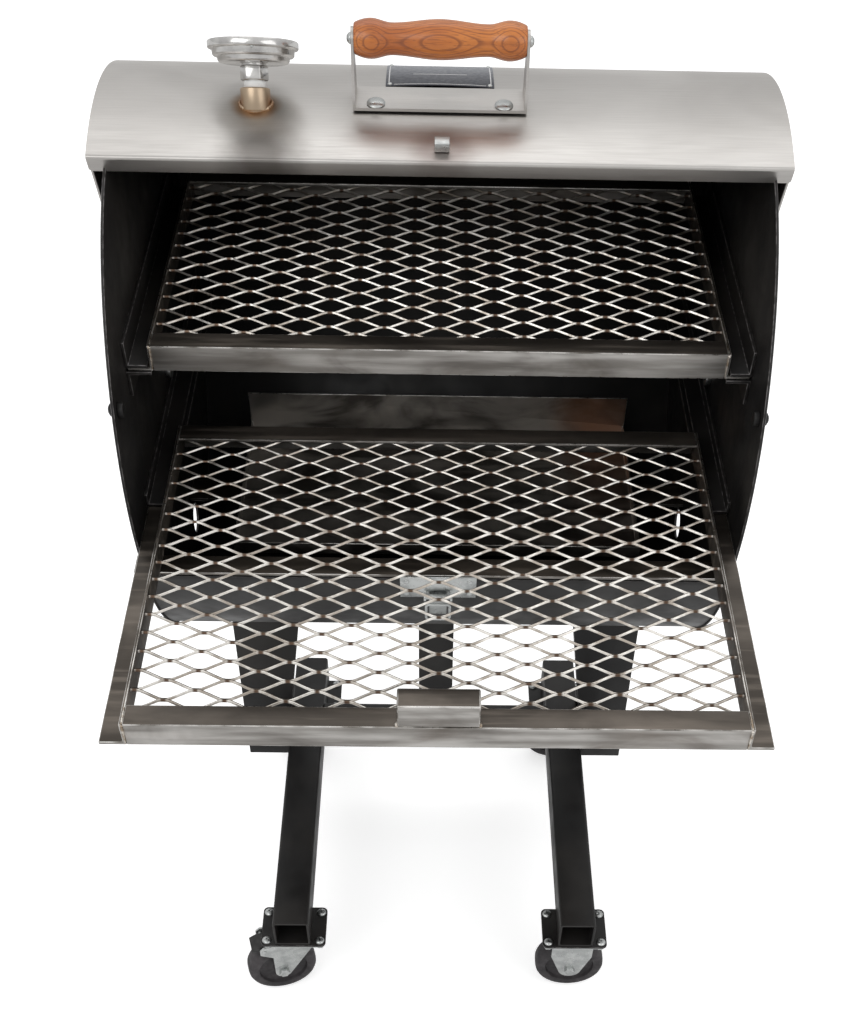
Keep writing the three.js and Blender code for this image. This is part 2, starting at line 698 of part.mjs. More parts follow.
// Local z runs out along the thermometer's own axis from the lid's surface.
function addGauge() {
  const base = rimPoint(LID_OUTER, GAUGE_BASE_DEGREES);
  const group = placedGroup(lid, GAUGE_X, base.x, base.y);
  const lean = radians(90 - GAUGE_AXIS_DEGREES);
  group.rotation.x = lean;

  const couplingTop = 9.2;
  const tube = turned([[9.6, -14], [14, -14], [14, couplingTop], [9.6, couplingTop], [9.6, -14]], 20);
  const centre = new THREE.Vector2(-base.x, -base.y).rotateAround(new THREE.Vector2(), -lean);
  const lidBody = turnedAlongX([[0, -40], [LID_OUTER + 0.5, -40], [LID_OUTER + 0.5, 40], [0, 40]], 1, 110)
    .translate(0, centre.x, centre.y);
  piece(group, "gauge_coupling", cut(tube, lidBody), "bare_steel");

  const threadStart = 6;
  const hexBase = 15.8;
  const hexTop = 30.5;
  const stem = turned([
    [0, -25],
    [3, -25],
    [3, threadStart],
    [9.1, threadStart],
    [9.1, hexBase + 0.5],
    [0, hexBase + 0.5],
  ]);
  const hex = rod(13.3, hexBase, hexTop - 3, 6);
  const neck = rod(7, hexTop - 4, hexTop);
  piece(group, "gauge_stem", join(stem, hex, neck), "zinc");

  const caseBack = hexTop + GAP;
  const cup = [
    [0, 0],
    [28, 0],
    [32, 1.2],
    [34, 5],
    [38.4, 8.8],
    [38.4, 11.2],
    [42, 11.2],
    [42, 17],
    [38.8, 17],
    [38.8, 14.8],
    [36.8, 14.8],
    [36.8, 9.4],
    [31, 6.5],
    [31, 3],
    [0, 3],
  ];
  piece(group, "gauge_case", turned(cup, 32).translate(0, 0, caseBack), "stainless");
  piece(group, "gauge_dial", rod(36.4, caseBack + 9.7, caseBack + 10.5, 28), "dial");
  piece(group, "gauge_lens", rod(38.4, caseBack + 15.1, caseBack + 16.6, 28), "glass");
  const blade = alongZ(points([-2, -8], [2, -8], [0.6, 29], [-0.6, 29]), caseBack + 12, caseBack + 12.9);
  const hub = rod(3.4, caseBack + 10.8, caseBack + 14);
  const pointer = join(hub, blade).rotateZ(radians(POINTER_REST_DEGREES));
  piece(group, "gauge_pointer", pointer, "polymer");
}

// ---------------------------------------------------------------- grates

function grateFrame(depth) {
  const parts = [];
  for (const side of Object.values(SIDES)) {
    const outline = angleOutline([GRATE_INNER_X, -ANGLE_LEG], GRATE_INNER_X + ANGLE_LEG, 0, ANGLE_THICKNESS);
    parts.push(alongY(mirrored(outline, side), 0, depth));
  }
  const reach = GRATE_INNER_X + ANGLE_THICKNESS / 2;
  const front = angleOutline([0, 0], ANGLE_LEG, -ANGLE_LEG, ANGLE_THICKNESS);
  const back = angleOutline([depth, 0], depth - ANGLE_LEG, -ANGLE_LEG, ANGLE_THICKNESS);
  parts.push(alongX(front, -reach, reach), alongX(back, -reach, reach));
  return join(...parts);
}

// Expanded metal: rows of diamonds, every second row shifted by half a pitch.
function grateMesh(depth) {
  const margin = ANGLE_THICKNESS + MESH_GAP;
  const reach = GRATE_INNER_X - MESH_GAP;
  const { across, along } = MESH_OPENING;
  const rows = Math.floor((depth - 2 * margin - 6) / MESH_PITCH.along) * 2 - 1;
  const holes = [];
  for (let row = 0; row < rows; row += 1) {
    const y = depth / 2 + ((row - (rows - 1) / 2) * MESH_PITCH.along) / 2;
    const columns = row % 2 === 0 ? 5 : 4;
    for (let column = 0; column < columns; column += 1) {
      const x = (column - (columns - 1) / 2) * MESH_PITCH.across;
      holes.push(points([x - across, y], [x, y - along], [x + across, y], [x, y + along]));
    }
  }
  const top = -ANGLE_THICKNESS - MESH_GAP;
  return alongZ(rectangle(-reach, reach, margin, depth - margin), top - MESH_THICKNESS, top, holes);
}

function addGrate(level, grate) {
  const group = placedGroup(smoker, 0, grate.front, grate.top);
  piece(group, `${level}_grate_frame`, grateFrame(grate.depth), "mill_steel");
  piece(group, `${level}_grate_mesh`, grateMesh(grate.depth), "bare_steel");
  return group;
}

function addGrates() {
  addGrate("upper", UPPER_GRATE);
  const lower = addGrate("lower", LOWER_GRATE);
  const outline = angleOutline([0, TAB.height], TAB.depth, GAP, ANGLE_THICKNESS);
  piece(lower, "lower_grate_handle", alongX(outline, -TAB.halfWidth, TAB.halfWidth), "mill_steel");
}

// ---------------------------------------------------------------- latch

function addLatch() {
  const group = radialGroup(barrel, 0, LATCH_DEGREES);
  const plateTop = 281.4;
  const plate = box(-41, 41, -18, 18, SHELL_OUTER + 0.5, plateTop);
  const ear = [...points([-5, plateTop - 0.5]), ...arc(LATCH_PIVOT.y, LATCH_PIVOT.z, 4, 0, 180, 6)];
  ear.push(...points([-15, plateTop - 0.5]));
  const ears = Object.values(SIDES).map((side) => {
    const [low, high] = span(side, 13, 15.5);
    return alongX(ear, low, high);
  });
  const pin = turnedAlongX([[0, -14], [2, -14], [2, 14], [0, 14]], 1, BOLT_STEPS)
    .translate(0, LATCH_PIVOT.y, LATCH_PIVOT.z);
  piece(group, "latch_base", join(plate, ...ears, pin), "zinc");

  const knuckle = alongX(circle(LATCH_PIVOT.y, LATCH_PIVOT.z, 4.2, BOLT_STEPS), -9.5, 9.5);
  const arm = alongX(rectangle(-42, LATCH_PIVOT.y, 284.8, 287.3), -9.5, 9.5);
  const eye = alongX(circle(LATCH_PIVOT.y, LATCH_PIVOT.z, 2.5, BOLT_STEPS), -12, 12);
  piece(group, "latch_lever", cut(join(knuckle, arm), eye), "zinc");

  const wire = 1.5;
  const top = BAIL_PIVOT.y + wire;
  const loop = rectangle(-14.4, 14.4, top - 32, top);
  const inside = rectangle(-11.4, 11.4, top - 32 + 2 * wire, top - 2 * wire);
  piece(group, "latch_bail", alongZ(loop, BAIL_PIVOT.z - wire, BAIL_PIVOT.z + wire, [inside]), "zinc");
}

// ---------------------------------------------------------------- assembly

addWalls();
addShell();
addBolts();
addRunners("lower", LOWER_GRATE, LOWER_RUNNER);
addRunners("upper", UPPER_GRATE, UPPER_RUNNER);
addDripPan();
addTubes();
addLegs();
for (const end of Object.keys(CASTER_Y)) {
  addSwivelCaster(end);
  addRigidCaster(end);
}
addLidSheet();
addLidEnds();
addHandle();
addNamePlate();
addKeeper();
addGauge();
addGrates();
addLatch();

const bounds = new THREE.Box3().setFromObject(smoker);
smoker.position.y = -(bounds.min.y + bounds.max.y) / 2;

export default smoker;
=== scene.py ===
"""Looks for the barrel smoker: smooth skins, rounded sections, expanded metal, welds and materials.

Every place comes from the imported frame: node boxes, joint axes and body names. Lengths that belong to
a piece's own shape are in millimetres and are scaled by MM. Angles about the barrel axis run from the
front horizontal up and over the top, as they do in the CAD part.
"""
import json
import math

import bmesh
import bpy
from mathutils import Matrix, Vector


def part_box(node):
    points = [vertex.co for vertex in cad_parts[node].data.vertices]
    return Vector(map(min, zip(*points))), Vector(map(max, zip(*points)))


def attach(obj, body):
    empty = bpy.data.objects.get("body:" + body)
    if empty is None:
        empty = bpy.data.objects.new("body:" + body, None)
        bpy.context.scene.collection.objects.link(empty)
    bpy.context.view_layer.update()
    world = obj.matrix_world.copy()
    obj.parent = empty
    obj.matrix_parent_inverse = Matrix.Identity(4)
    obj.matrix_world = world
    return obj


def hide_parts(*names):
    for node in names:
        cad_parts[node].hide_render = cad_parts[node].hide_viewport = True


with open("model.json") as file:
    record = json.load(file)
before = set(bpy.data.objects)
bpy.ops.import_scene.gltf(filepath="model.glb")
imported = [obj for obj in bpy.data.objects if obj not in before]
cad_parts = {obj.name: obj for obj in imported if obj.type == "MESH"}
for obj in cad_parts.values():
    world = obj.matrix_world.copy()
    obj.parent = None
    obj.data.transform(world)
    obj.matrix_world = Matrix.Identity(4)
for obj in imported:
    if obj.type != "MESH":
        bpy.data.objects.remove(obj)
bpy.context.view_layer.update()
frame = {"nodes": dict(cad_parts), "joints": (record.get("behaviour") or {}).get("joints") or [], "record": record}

RECORD = frame["record"]
NODES = frame["nodes"]
JOINTS = {joint["name"]: joint for joint in frame["joints"]}
BODY_OF = {node: body for body, members in RECORD["behaviour"]["bodies"].items() for node in members}
MM = 0.001
VENT_CENTRE = Vector((0, 23, -217)) * MM  # of the hole in each wall, from the barrel's axis
LONG_WAY, SHORT_WAY = 56.0, 25.9  # pitch of the expanded metal's diamonds along x and along y
X = Vector((1, 0, 0))
Y = Vector((0, 1, 0))
Z = Vector((0, 0, 1))


def node_box(node):
    """Lowest and highest corner of a CAD node, in millimetres."""
    low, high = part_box(node)
    return low / MM, high / MM


def middle(node):
    low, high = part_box(node)
    return (low + high) / 2


def scaled(points):
    """Points in millimetres as vectors in metres."""
    return [Vector(p) * MM for p in points]


BARREL_AXIS = Vector((0, *middle("left_pivot_bolt").yz))

# ---- places


def basis(x, y, z, origin):
    """The matrix whose columns are three directions and an origin in metres."""
    rotation = Matrix((x, y, z)).transposed()
    return Matrix.Translation(origin) @ rotation.to_4x4()


def along(direction, origin):
    """A place whose +Z points along a direction."""
    z = Vector(direction).normalized()
    x = X if abs(z.x) < 0.9 else Y
    y = z.cross(x).normalized()
    return basis(y.cross(z), y, z, origin)


def radial(x_mm, degrees):
    """A place on the barrel axis whose +Z points out at an angle and whose +Y runs on over the top."""
    a = math.radians(degrees)
    outward = Vector((0, -math.cos(a), math.sin(a)))
    onward = Vector((0, math.sin(a), math.cos(a)))
    return basis(X, onward, outward, BARREL_AXIS + X * x_mm * MM)


def angle_of(point):
    """Angle about the barrel axis of a point in metres."""
    offset = point - BARREL_AXIS
    return math.degrees(math.atan2(offset.z, -offset.y))


def rim(radius, degrees):
    """(y, z) from the barrel axis, in millimetres."""
    a = math.radians(degrees)
    return -radius * math.cos(a), radius * math.sin(a)


BARREL = basis(Y, Z, X, BARREL_AXIS)  # outlines in (y, z) run along x

# ---- shader nodes


class Shader:
    """A node material with a Principled BSDF, and short ways to feed it."""

    def __init__(self, name, metallic=0.0, roughness=0.5):
        self.material = bpy.data.materials.new(name)
        self.material.use_nodes = True
        self.tree = self.material.node_tree
        self.bsdf = self.tree.nodes["Principled BSDF"]
        self.place = self.node("ShaderNodeTexCoord").outputs["Object"]
        self.set("Metallic", metallic)
        self.set("Roughness", roughness)

    def node(self, kind, **settings):
        made = self.tree.nodes.new(kind)
        for key, value in settings.items():
            setattr(made, key, value)
        return made

    def plug(self, socket, value):
        if isinstance(value, bpy.types.NodeSocket):
            self.tree.links.new(value, socket)
        elif hasattr(socket.default_value, "__len__") and len(value) == 3 and len(socket.default_value) == 4:
            socket.default_value = (*value, 1.0)
        else:
            socket.default_value = value

    def set(self, socket, value):
        self.plug(self.bsdf.inputs[socket], value)

    def noise(self, scale, stretch=(1, 1, 1), detail=4.0, distortion=0.0):
        mapping = self.node("ShaderNodeMapping")
        self.plug(mapping.inputs["Vector"], self.place)
        self.plug(mapping.inputs["Scale"], stretch)
        texture = self.node("ShaderNodeTexNoise")
        self.plug(texture.inputs["Vector"], mapping.outputs[0])
        self.plug(texture.inputs["Scale"], scale)
        self.plug(texture.inputs["Detail"], detail)
        self.plug(texture.inputs["Distortion"], distortion)
        return texture.outputs[0]

    def span(self, value, low, high, start=0.0, end=1.0):
        """value from low..high to start..end, held at both ends."""
        node = self.node("ShaderNodeMapRange", interpolation_type="SMOOTHSTEP")
        for socket, number in zip(node.inputs[:5], (value, low, high, start, end)):
            self.plug(socket, number)
        return node.outputs[0]

    def patch(self, scale, low, high, start=0.0, end=1.0, stretch=(1, 1, 1), detail=4.0, distortion=0.0):
        """Noise from low..high to start..end."""
        return self.span(self.noise(scale, stretch, detail, distortion), low, high, start, end)

    def node_axis(self, index):
        """One of the object's own coordinates, in metres."""
        split = self.node("ShaderNodeSeparateXYZ")
        self.plug(split.inputs[0], self.place)
        return split.outputs[index]

    def mix(self, factor, first, second):
        node = self.node("ShaderNodeMix", data_type="RGBA")
        self.plug(node.inputs[0], factor)
        self.plug(node.inputs[6], first)
        self.plug(node.inputs[7], second)
        return node.outputs[2]

    def calc(self, operation, first, second=0.0):
        node = self.node("ShaderNodeMath", operation=operation)
        self.plug(node.inputs[0], first)
        self.plug(node.inputs[1], second)
        return node.outputs[0]

    def distance(self, point, squash=(1, 1, 1)):
        """Distance from a point in metres, with each axis scaled."""
        shift = self.node("ShaderNodeMapping")
        self.plug(shift.inputs["Vector"], self.place)
        self.plug(shift.inputs["Scale"], squash)
        self.plug(shift.inputs["Location"], [-p * s for p, s in zip(point, squash)])
        length = self.node("ShaderNodeVectorMath", operation="LENGTH")
        self.plug(length.inputs[0], shift.outputs[0])
        return length.outputs["Value"]

    def facing(self, direction):
        """How far the surface faces a direction, from -1 to 1."""
        normal = self.node("ShaderNodeNewGeometry").outputs["Normal"]
        dot = self.node("ShaderNodeVectorMath", operation="DOT_PRODUCT")
        self.plug(dot.inputs[0], normal)
        self.plug(dot.inputs[1], direction)
        return dot.outputs["Value"]

    def bump(self, height, depth_mm, strength=1.0):
        node = self.node("ShaderNodeBump")
        self.plug(node.inputs["Height"], height)
        self.plug(node.inputs["Distance"], depth_mm * MM)
        self.plug(node.inputs["Strength"], strength)
        self.set("Normal", node.outputs[0])


# ---- materials


def black_paint():
    s = Shader("black_paint")
    dust = s.patch(9, 0.42, 0.7, detail=6)
    s.set("Base Color", s.mix(dust, (0.009, 0.0085, 0.0085), (0.021, 0.019, 0.0175)))
    s.set("Specular IOR Level", 0.34)
    s.set("Roughness", s.patch(30, 0.3, 0.7, 0.34, 0.52, detail=5))
    s.bump(s.noise(900, detail=2), 0.05, 0.35)
    return s.material


def paint_edge():
    """Where the black paint is thin over a sharp corner."""
    s = Shader("paint_edge", 0.4, 0.38)
    worn = s.patch(140, 0.4, 0.62, detail=5)
    s.set("Base Color", s.mix(worn, (0.035, 0.033, 0.032), (0.16, 0.15, 0.15)))
    return s.material


def mill_steel(name, tone, front_sheen):
    """Hot-rolled steel: mill scale on top, and a painted highlight on the faces turned to the front."""
    s = Shader(name, 0.85)
    patches = s.noise(14, (0.5, 1, 1), 6, 0.6)
    streaks = s.noise(60, (0.12, 1.6, 1.6), 5)
    scale = s.mix(s.span(patches, 0.35, 0.7), [c * 0.6 for c in tone], [c * 1.45 for c in tone])
    scale = s.mix(s.span(streaks, 0.5, 0.72, 0.0, 0.55), scale, [c * 2.2 for c in tone])
    # Faces turned to the front get the lighter colour in patches: a painted highlight.
    front = s.span(s.facing((0, -1, 0)), 0.6, 0.95, 0.0, front_sheen)
    front_sheen_patches = s.patch(22, 0.30, 0.62, 0.25, 1.0, stretch=(0.35, 1, 1), detail=5, distortion=0.8)
    bright = s.mix(s.span(streaks, 0.35, 0.7), (0.30, 0.285, 0.265), (0.62, 0.60, 0.575))
    s.set("Base Color", s.mix(s.calc("MULTIPLY", front, front_sheen_patches), scale, bright))
    s.set("Roughness", s.span(streaks, 0.3, 0.7, 0.34, 0.55))
    s.bump(s.noise(260, (0.15, 1, 1), 3), 0.08, 0.4)
    return s.material


def ground_edge():
    s = Shader("ground_edge", 1.0)
    wear = s.patch(90, 0.34, 0.62, stretch=(0.4, 0.4, 1), detail=5)
    s.set("Base Color", s.mix(wear, (0.20, 0.185, 0.165), (0.70, 0.68, 0.65)))
    s.set("Roughness", s.patch(300, 0.3, 0.7, 0.25, 0.45))
    return s.material


def strand_steel():
    """The sheared sides of the expanded metal's strands."""
    s = Shader("strand_steel", 1.0)
    bright = s.mix(s.patch(55, 0.36, 0.62, detail=5), (0.46, 0.41, 0.355), (0.84, 0.81, 0.76))
    phase = s.calc("FRACT", s.calc("ADD", s.calc("MULTIPLY", s.node_axis(0), 2 / (LONG_WAY * MM)), 0.5))
    past_bond = s.calc("ABSOLUTE", s.calc("SUBTRACT", phase, 0.5))
    sheared = s.span(s.calc("ADD", past_bond, s.calc("MULTIPLY", s.noise(90), 0.08)), 0.08, 0.17, 0.0, 1.0)
    s.set("Base Color", s.mix(sheared, (0.13, 0.085, 0.06), bright))
    s.set("Roughness", s.patch(350, 0.3, 0.7, 0.28, 0.48, detail=3))
    return s.material


def strand_scale():
    """The rolled faces of the strands and bonds, still with some mill scale."""
    s = Shader("strand_scale", 0.9)
    s.set("Base Color", s.mix(s.patch(80, 0.35, 0.65, detail=5), (0.10, 0.08, 0.062), (0.24, 0.205, 0.17)))
    s.set("Roughness", s.patch(300, 0.3, 0.7, 0.35, 0.55))
    return s.material


def stainless(name="stainless"):
    """Brushed sheet; the brushing runs along x."""
    s = Shader(name, 1.0)
    lines = s.noise(420, (0.05, 3.2, 3.2), 4)
    clouds = s.noise(7, (1, 1.5, 1.5), 4, 0.5)
    tone = s.mix(s.span(clouds, 0.3, 0.7), (0.52, 0.500, 0.478), (0.61, 0.590, 0.566))
    tone = s.mix(s.span(lines, 0.35, 0.65, 0.0, 0.14), tone, (0.40, 0.385, 0.37))
    s.set("Base Color", tone)
    s.set("Roughness", s.span(lines, 0.3, 0.7, 0.30, 0.42))
    s.set("Anisotropic", 0.6)
    s.bump(lines, 0.02, 0.35)
    return s, tone


def lid_steel():
    """The brushed sheet with heat tint in front of the welded coupling and below the handle."""
    s, tone = stainless("lid_steel")
    gauge = Vector(JOINTS["gauge_pointer_turn"]["pos_m"])
    smoke = Vector((gauge.x + 0.008, gauge.y - 0.062, gauge.z - 0.011))
    ragged = s.calc("MULTIPLY", s.noise(28, detail=4), 0.026)
    shade = s.span(s.calc("ADD", s.distance(smoke, (1.0, 1.3, 0.3)), ragged), 0.024, 0.066, 0.74, 0.0)
    tone = s.mix(shade, tone, (0.105, 0.092, 0.082))
    ring = s.span(s.calc("ADD", s.distance(gauge), s.calc("MULTIPLY", ragged, 0.5)), 0.021, 0.034, 0.85, 0.0)
    tone = s.mix(ring, tone, (0.40, 0.235, 0.115))
    keeper = middle("latch_keeper")
    low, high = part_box("handle_bracket")
    reach = 0.035 / (high.x - low.x)
    from_keeper = s.calc("ADD", s.distance(keeper, (reach * 4.2, 1.35, 0.6)), ragged)
    haze = s.span(from_keeper, 0.022, 0.052, 0.62, 0.0)
    tone = s.mix(haze, tone, (0.235, 0.185, 0.17))
    s.set("Base Color", tone)
    return s.material


def tinted_steel():
    """Steel turned straw and brown by welding at its foot."""
    s = Shader("tinted_steel", 1.0, 0.34)
    gauge = Vector(JOINTS["gauge_pointer_turn"]["pos_m"])
    wander = s.calc("MULTIPLY", s.noise(60), 0.008)
    hot = s.span(s.calc("ADD", s.distance(gauge, (0.4, 1, 1)), wander), 0.008, 0.017)
    s.set("Base Color", s.mix(hot, (0.36, 0.19, 0.095), (0.50, 0.39, 0.28)))
    s.bump(s.noise(500), 0.05, 0.3)
    return s.material


def weld_metal():
    s = Shader("weld_metal", 1.0, 0.3)
    s.set("Base Color", s.mix(s.patch(160, 0.35, 0.65, detail=4), (0.34, 0.27, 0.20), (0.74, 0.70, 0.64)))
    return s.material


def bright_metal(name, dark, light, roughness):
    """Plated or polished metal with faint mottling."""
    s = Shader(name, 1.0)
    s.set("Base Color", s.mix(s.patch(70, 0.35, 0.65, detail=5), dark, light))
    s.set("Roughness", s.patch(190, 0.3, 0.7, roughness * 0.75, roughness * 1.3, detail=3))
    s.bump(s.noise(420), 0.03, 0.25)
    return s.material


def pan_steel():
    """Thin sheet with bronze heat tint near one corner, and patchy grey with lighter streaks painted in as
    highlights of its crinkles.
    """
    s = Shader("pan_steel", 0.95)
    # Lighter streaks in the base colour: painted highlights of the crinkled sheet.
    crinkle_highlights = s.patch(16, 0.38, 0.60, stretch=(0.4, 1, 1), detail=6, distortion=1.2)
    base = s.mix(crinkle_highlights, (0.13, 0.12, 0.11), (0.46, 0.435, 0.405))
    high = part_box("drip_pan")[1]
    corner = Vector((high.x - 0.03, high.y, high.z - 0.02))
    tint = s.span(s.distance(corner, (0.9, 0.3, 1)), 0.02, 0.075, 0.70, 0.0)
    s.set("Base Color", s.mix(tint, base, (0.46, 0.25, 0.15)))
    s.set("Roughness", s.patch(35, 0.3, 0.7, 0.28, 0.5))
    s.bump(s.noise(18, (0.5, 1, 1), 2), 0.5, 0.3)
    return s.material


def wheel_polymer():
    s = Shader("wheel_polymer")
    s.set("Base Color", s.mix(s.patch(45, 0.4, 0.7, detail=5), (0.022, 0.019, 0.021), (0.050, 0.044, 0.047)))
    s.set("Roughness", s.patch(160, 0.3, 0.7, 0.48, 0.7))
    s.bump(s.noise(1400, detail=2), 0.04, 0.4)
    return s.material


def plain_black():
    s = Shader("plain_black")
    s.set("Base Color", s.mix(s.patch(120, 0.4, 0.7), (0.012, 0.012, 0.012), (0.028, 0.027, 0.026)))
    s.set("Roughness", s.patch(220, 0.3, 0.7, 0.3, 0.5))
    return s.material


def oak():
    """Growth rings about a pith beside the grip, so that the swellings cut them into nested ovals."""
    s = Shader("oak")
    centre = middle("handle_grip")
    pith = centre + Vector((0, 0.088, -0.014))
    wander = s.calc("MULTIPLY", s.noise(22, (0.5, 1, 1), 3), 0.0035)
    radius = s.calc("ADD", s.distance(pith, (0.035, 1, 1)), wander)
    rings = s.calc("FRACT", s.calc("MULTIPLY", radius, 1 / 0.0017))
    late = s.calc("MULTIPLY", s.span(rings, 0.60, 0.86), s.span(rings, 0.99, 0.9))
    pores = s.patch(900, 0.52, 0.66, stretch=(0.06, 1, 1), detail=3)
    tone = s.mix(s.patch(35, 0.3, 0.7, stretch=(0.3, 1, 1)), (0.42, 0.108, 0.018), (0.62, 0.205, 0.038))
    tone = s.mix(s.calc("MULTIPLY", late, 0.62), tone, (0.17, 0.040, 0.013))
    s.set("Base Color", s.mix(s.calc("MULTIPLY", pores, 0.45), tone, (0.17, 0.048, 0.016)))
    s.set("Roughness", s.span(pores, 0.0, 1.0, 0.30, 0.5))
    s.set("Coat Weight", 0.35)
    s.set("Coat Roughness", 0.22)
    s.bump(pores, -0.08, 0.4)
    return s.material


def plate_enamel():
    s = Shader("plate_enamel", 0.55)
    low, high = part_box("name_plate")
    # Darker at the front edge and lighter at the back: a painted reflection of the bright surroundings.
    depth = s.span(s.node_axis(1), low.y, high.y)
    s.set("Base Color", s.mix(depth, (0.035, 0.038, 0.052), (0.26, 0.27, 0.30)))
    s.set("Roughness", s.patch(240, 0.3, 0.7, 0.28, 0.42))
    return s.material


def flat_colour(name, colour, roughness, grain=0.08):
    """Print, tape or dial paint, with a little unevenness."""
    s = Shader(name)
    darker = [c * (1 - grain) for c in colour]
    s.set("Base Color", s.mix(s.patch(140, 0.35, 0.65, detail=4), darker, colour))
    s.set("Roughness", roughness)
    s.bump(s.noise(800), 0.02, 0.3)
    return s.material


def lens_glass():
    s = Shader("lens_glass", 0.0, 0.04)
    s.set("Base Color", (0.97, 0.985, 0.98))
    s.set("Roughness", s.patch(60, 0.3, 0.7, 0.02, 0.07))
    s.set("Transmission Weight", 1.0)
    s.set("IOR", 1.05)
    return s.material


PAINT = black_paint()
PAINT_EDGE = paint_edge()
MILL = mill_steel("mill_steel", (0.085, 0.072, 0.060), 0.5)
GRATE = mill_steel("grate_steel", (0.125, 0.108, 0.092), 1.0)
EDGE = ground_edge()
STRAND = strand_steel()
STRAND_SCALE = strand_scale()
SHEET = stainless()[0].material
LID = lid_steel()
TINTED = tinted_steel()
WELD = weld_metal()
ZINC = bright_metal("zinc", (0.47, 0.485, 0.48), (0.62, 0.635, 0.625), 0.32)
POLISHED = bright_metal("gauge_steel", (0.56, 0.55, 0.54), (0.74, 0.73, 0.71), 0.16)
PAN = pan_steel()
POLYMER = wheel_polymer()
BLACK = plain_black()
WOOD = oak()
ENAMEL = plate_enamel()
PALE_PRINT = flat_colour("pale_print", (0.72, 0.72, 0.72), 0.4)
DARK_PRINT = flat_colour("dark_print", (0.02, 0.02, 0.02), 0.45)
TAPE = flat_colour("thread_tape", (0.86, 0.86, 0.85), 0.55)
DIAL = flat_colour("dial_white", (0.82, 0.81, 0.78), 0.5, 0.04)
GLASS = lens_glass()

# ---- mesh helpers


def loft(mesh, loops, ring=False, paints=None):
    """Skins a row of equal loops of points; the ends are capped unless the row closes on itself."""
    rows = [[mesh.verts.new(point) for point in loop] for loop in loops]
    pairs = list(zip(rows, rows[1:]))
    if ring:
        pairs.append((rows[-1], rows[0]))
    for first, second in pairs:
        count = len(first)
        for i in range(count):
            j = (i + 1) % count
            face = mesh.faces.new((first[i], first[j], second[j], second[i]))
            face.material_index = paints[i] if paints else 0
    if not ring:
        mesh.faces.new(rows[0][::-1])
        mesh.faces.new(rows[-1])


def turn(mesh, profile, place, steps=48, ring=False):
    """Turns (radius, height) pairs in mm about a place's +Z, from the axis round to the axis."""
    rows = []
    for radius, height in profile:
        count = steps if radius > 0 else 1
        circle = [2 * math.pi * i / steps for i in range(count)]
        points = [Vector((radius * math.cos(a), radius * math.sin(a), height)) * MM for a in circle]
        rows.append([mesh.verts.new(place @ p) for p in points])
    pairs = list(zip(rows, rows[1:]))
    if ring:
        pairs.append((rows[-1], rows[0]))
    for lower, upper in pairs:
        for i in range(steps):
            j = i + 1
            corners = (
                lower[i % len(lower)],
                lower[j % len(lower)],
                upper[j % len(upper)],
                upper[i % len(upper)],
            )
            mesh.faces.new(list(dict.fromkeys(corners)))


def prism(mesh, outline, low, high, place):
    """An outline in mm in a place's XY, solid from low to high along its Z."""
    loft(mesh, [[place @ (Vector((u, v, h)) * MM) for u, v in outline] for h in (low, high)])


def arc(u, v, radius, start, end, steps):
    """Points of an arc in the plane, in degrees."""
    angles = [math.radians(start + (end - start) * i / steps) for i in range(steps + 1)]
    return [(u + radius * math.cos(a), v + radius * math.sin(a)) for a in angles]


def rounded_rectangle(half_u, half_v, radius):
    corners = ((1, 1, 0), (-1, 1, 90), (-1, -1, 180), (1, -1, 270))
    outline = []
    for side_u, side_v, start in corners:
        centre_u, centre_v = side_u * (half_u - radius), side_v * (half_v - radius)
        outline += arc(centre_u, centre_v, radius, start, start + 90, 5)
    return outline


def baked(piece):
    """Applies a piece's modifiers."""
    depsgraph = bpy.context.evaluated_depsgraph_get()
    piece.data = bpy.data.meshes.new_from_object(piece.evaluated_get(depsgraph))
    piece.modifiers.clear()


def cut_away(piece, cutter_mesh):
    """Cuts a closed bmesh out of a piece."""
    data = bpy.data.meshes.new("cutter")
    bmesh.ops.recalc_face_normals(cutter_mesh, faces=cutter_mesh.faces)
    cutter_mesh.to_mesh(data)
    cutter_mesh.free()
    cutter = bpy.data.objects.new("cutter", data)
    bpy.context.scene.collection.objects.link(cutter)
    modifier = piece.modifiers.new("cut", "BOOLEAN")
    modifier.operation = "DIFFERENCE"
    modifier.solver = "EXACT"
    modifier.object = cutter
    baked(piece)
    bpy.data.objects.remove(cutter)


def soften(piece, width_mm, edge_slot=0):
    """Rounds every corner sharper than 35 degrees; the rounding can take a second material."""
    bevel = piece.modifiers.new("corners", "BEVEL")
    bevel.width = width_mm * MM
    bevel.segments = 2
    bevel.limit_method = "ANGLE"
    bevel.angle_limit = math.radians(35)
    bevel.use_clamp_overlap = True
    bevel.material = edge_slot if edge_slot else -1
    baked(piece)


def made(name, mesh, materials, body, stands_for=(), slot=None, soft=0.0, cutter=None, smooth=40):
    """Turns a bmesh into a named piece that rides on a body."""
    bmesh.ops.recalc_face_normals(mesh, faces=mesh.faces)
    data = bpy.data.meshes.new(name)
    mesh.to_mesh(data)
    mesh.free()
    piece = bpy.data.objects.new(name, data)
    bpy.context.scene.collection.objects.link(piece)
    for material in materials:
        data.materials.append(material)
    if cutter:
        cut_away(piece, cutter)
    if soft:
        soften(piece, soft, 1 if len(materials) == 2 else 0)
    piece.data.shade_smooth()
    piece.data.set_sharp_from_angle(angle=math.radians(smooth))
    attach(piece, body)
    if stands_for:
        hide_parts(*stands_for)
    return piece


def node_mesh(node):
    """A CAD node's mesh with its flat faces merged again."""
    mesh = bmesh.new()
    mesh.from_mesh(NODES[node].data)
    bmesh.ops.remove_doubles(mesh, verts=mesh.verts, dist=0.01 * MM)
    bmesh.ops.dissolve_limit(mesh, angle_limit=math.radians(0.6), verts=mesh.verts, edges=mesh.edges)
    for face in mesh.faces:
        face.material_index = 0
    return mesh


def refined(node, materials, soft):
    """The CAD node's own shape with rounded corners and worn edges."""
    return made(f"{node}_finished", node_mesh(node), materials, BODY_OF[node], (node,), soft=soft)


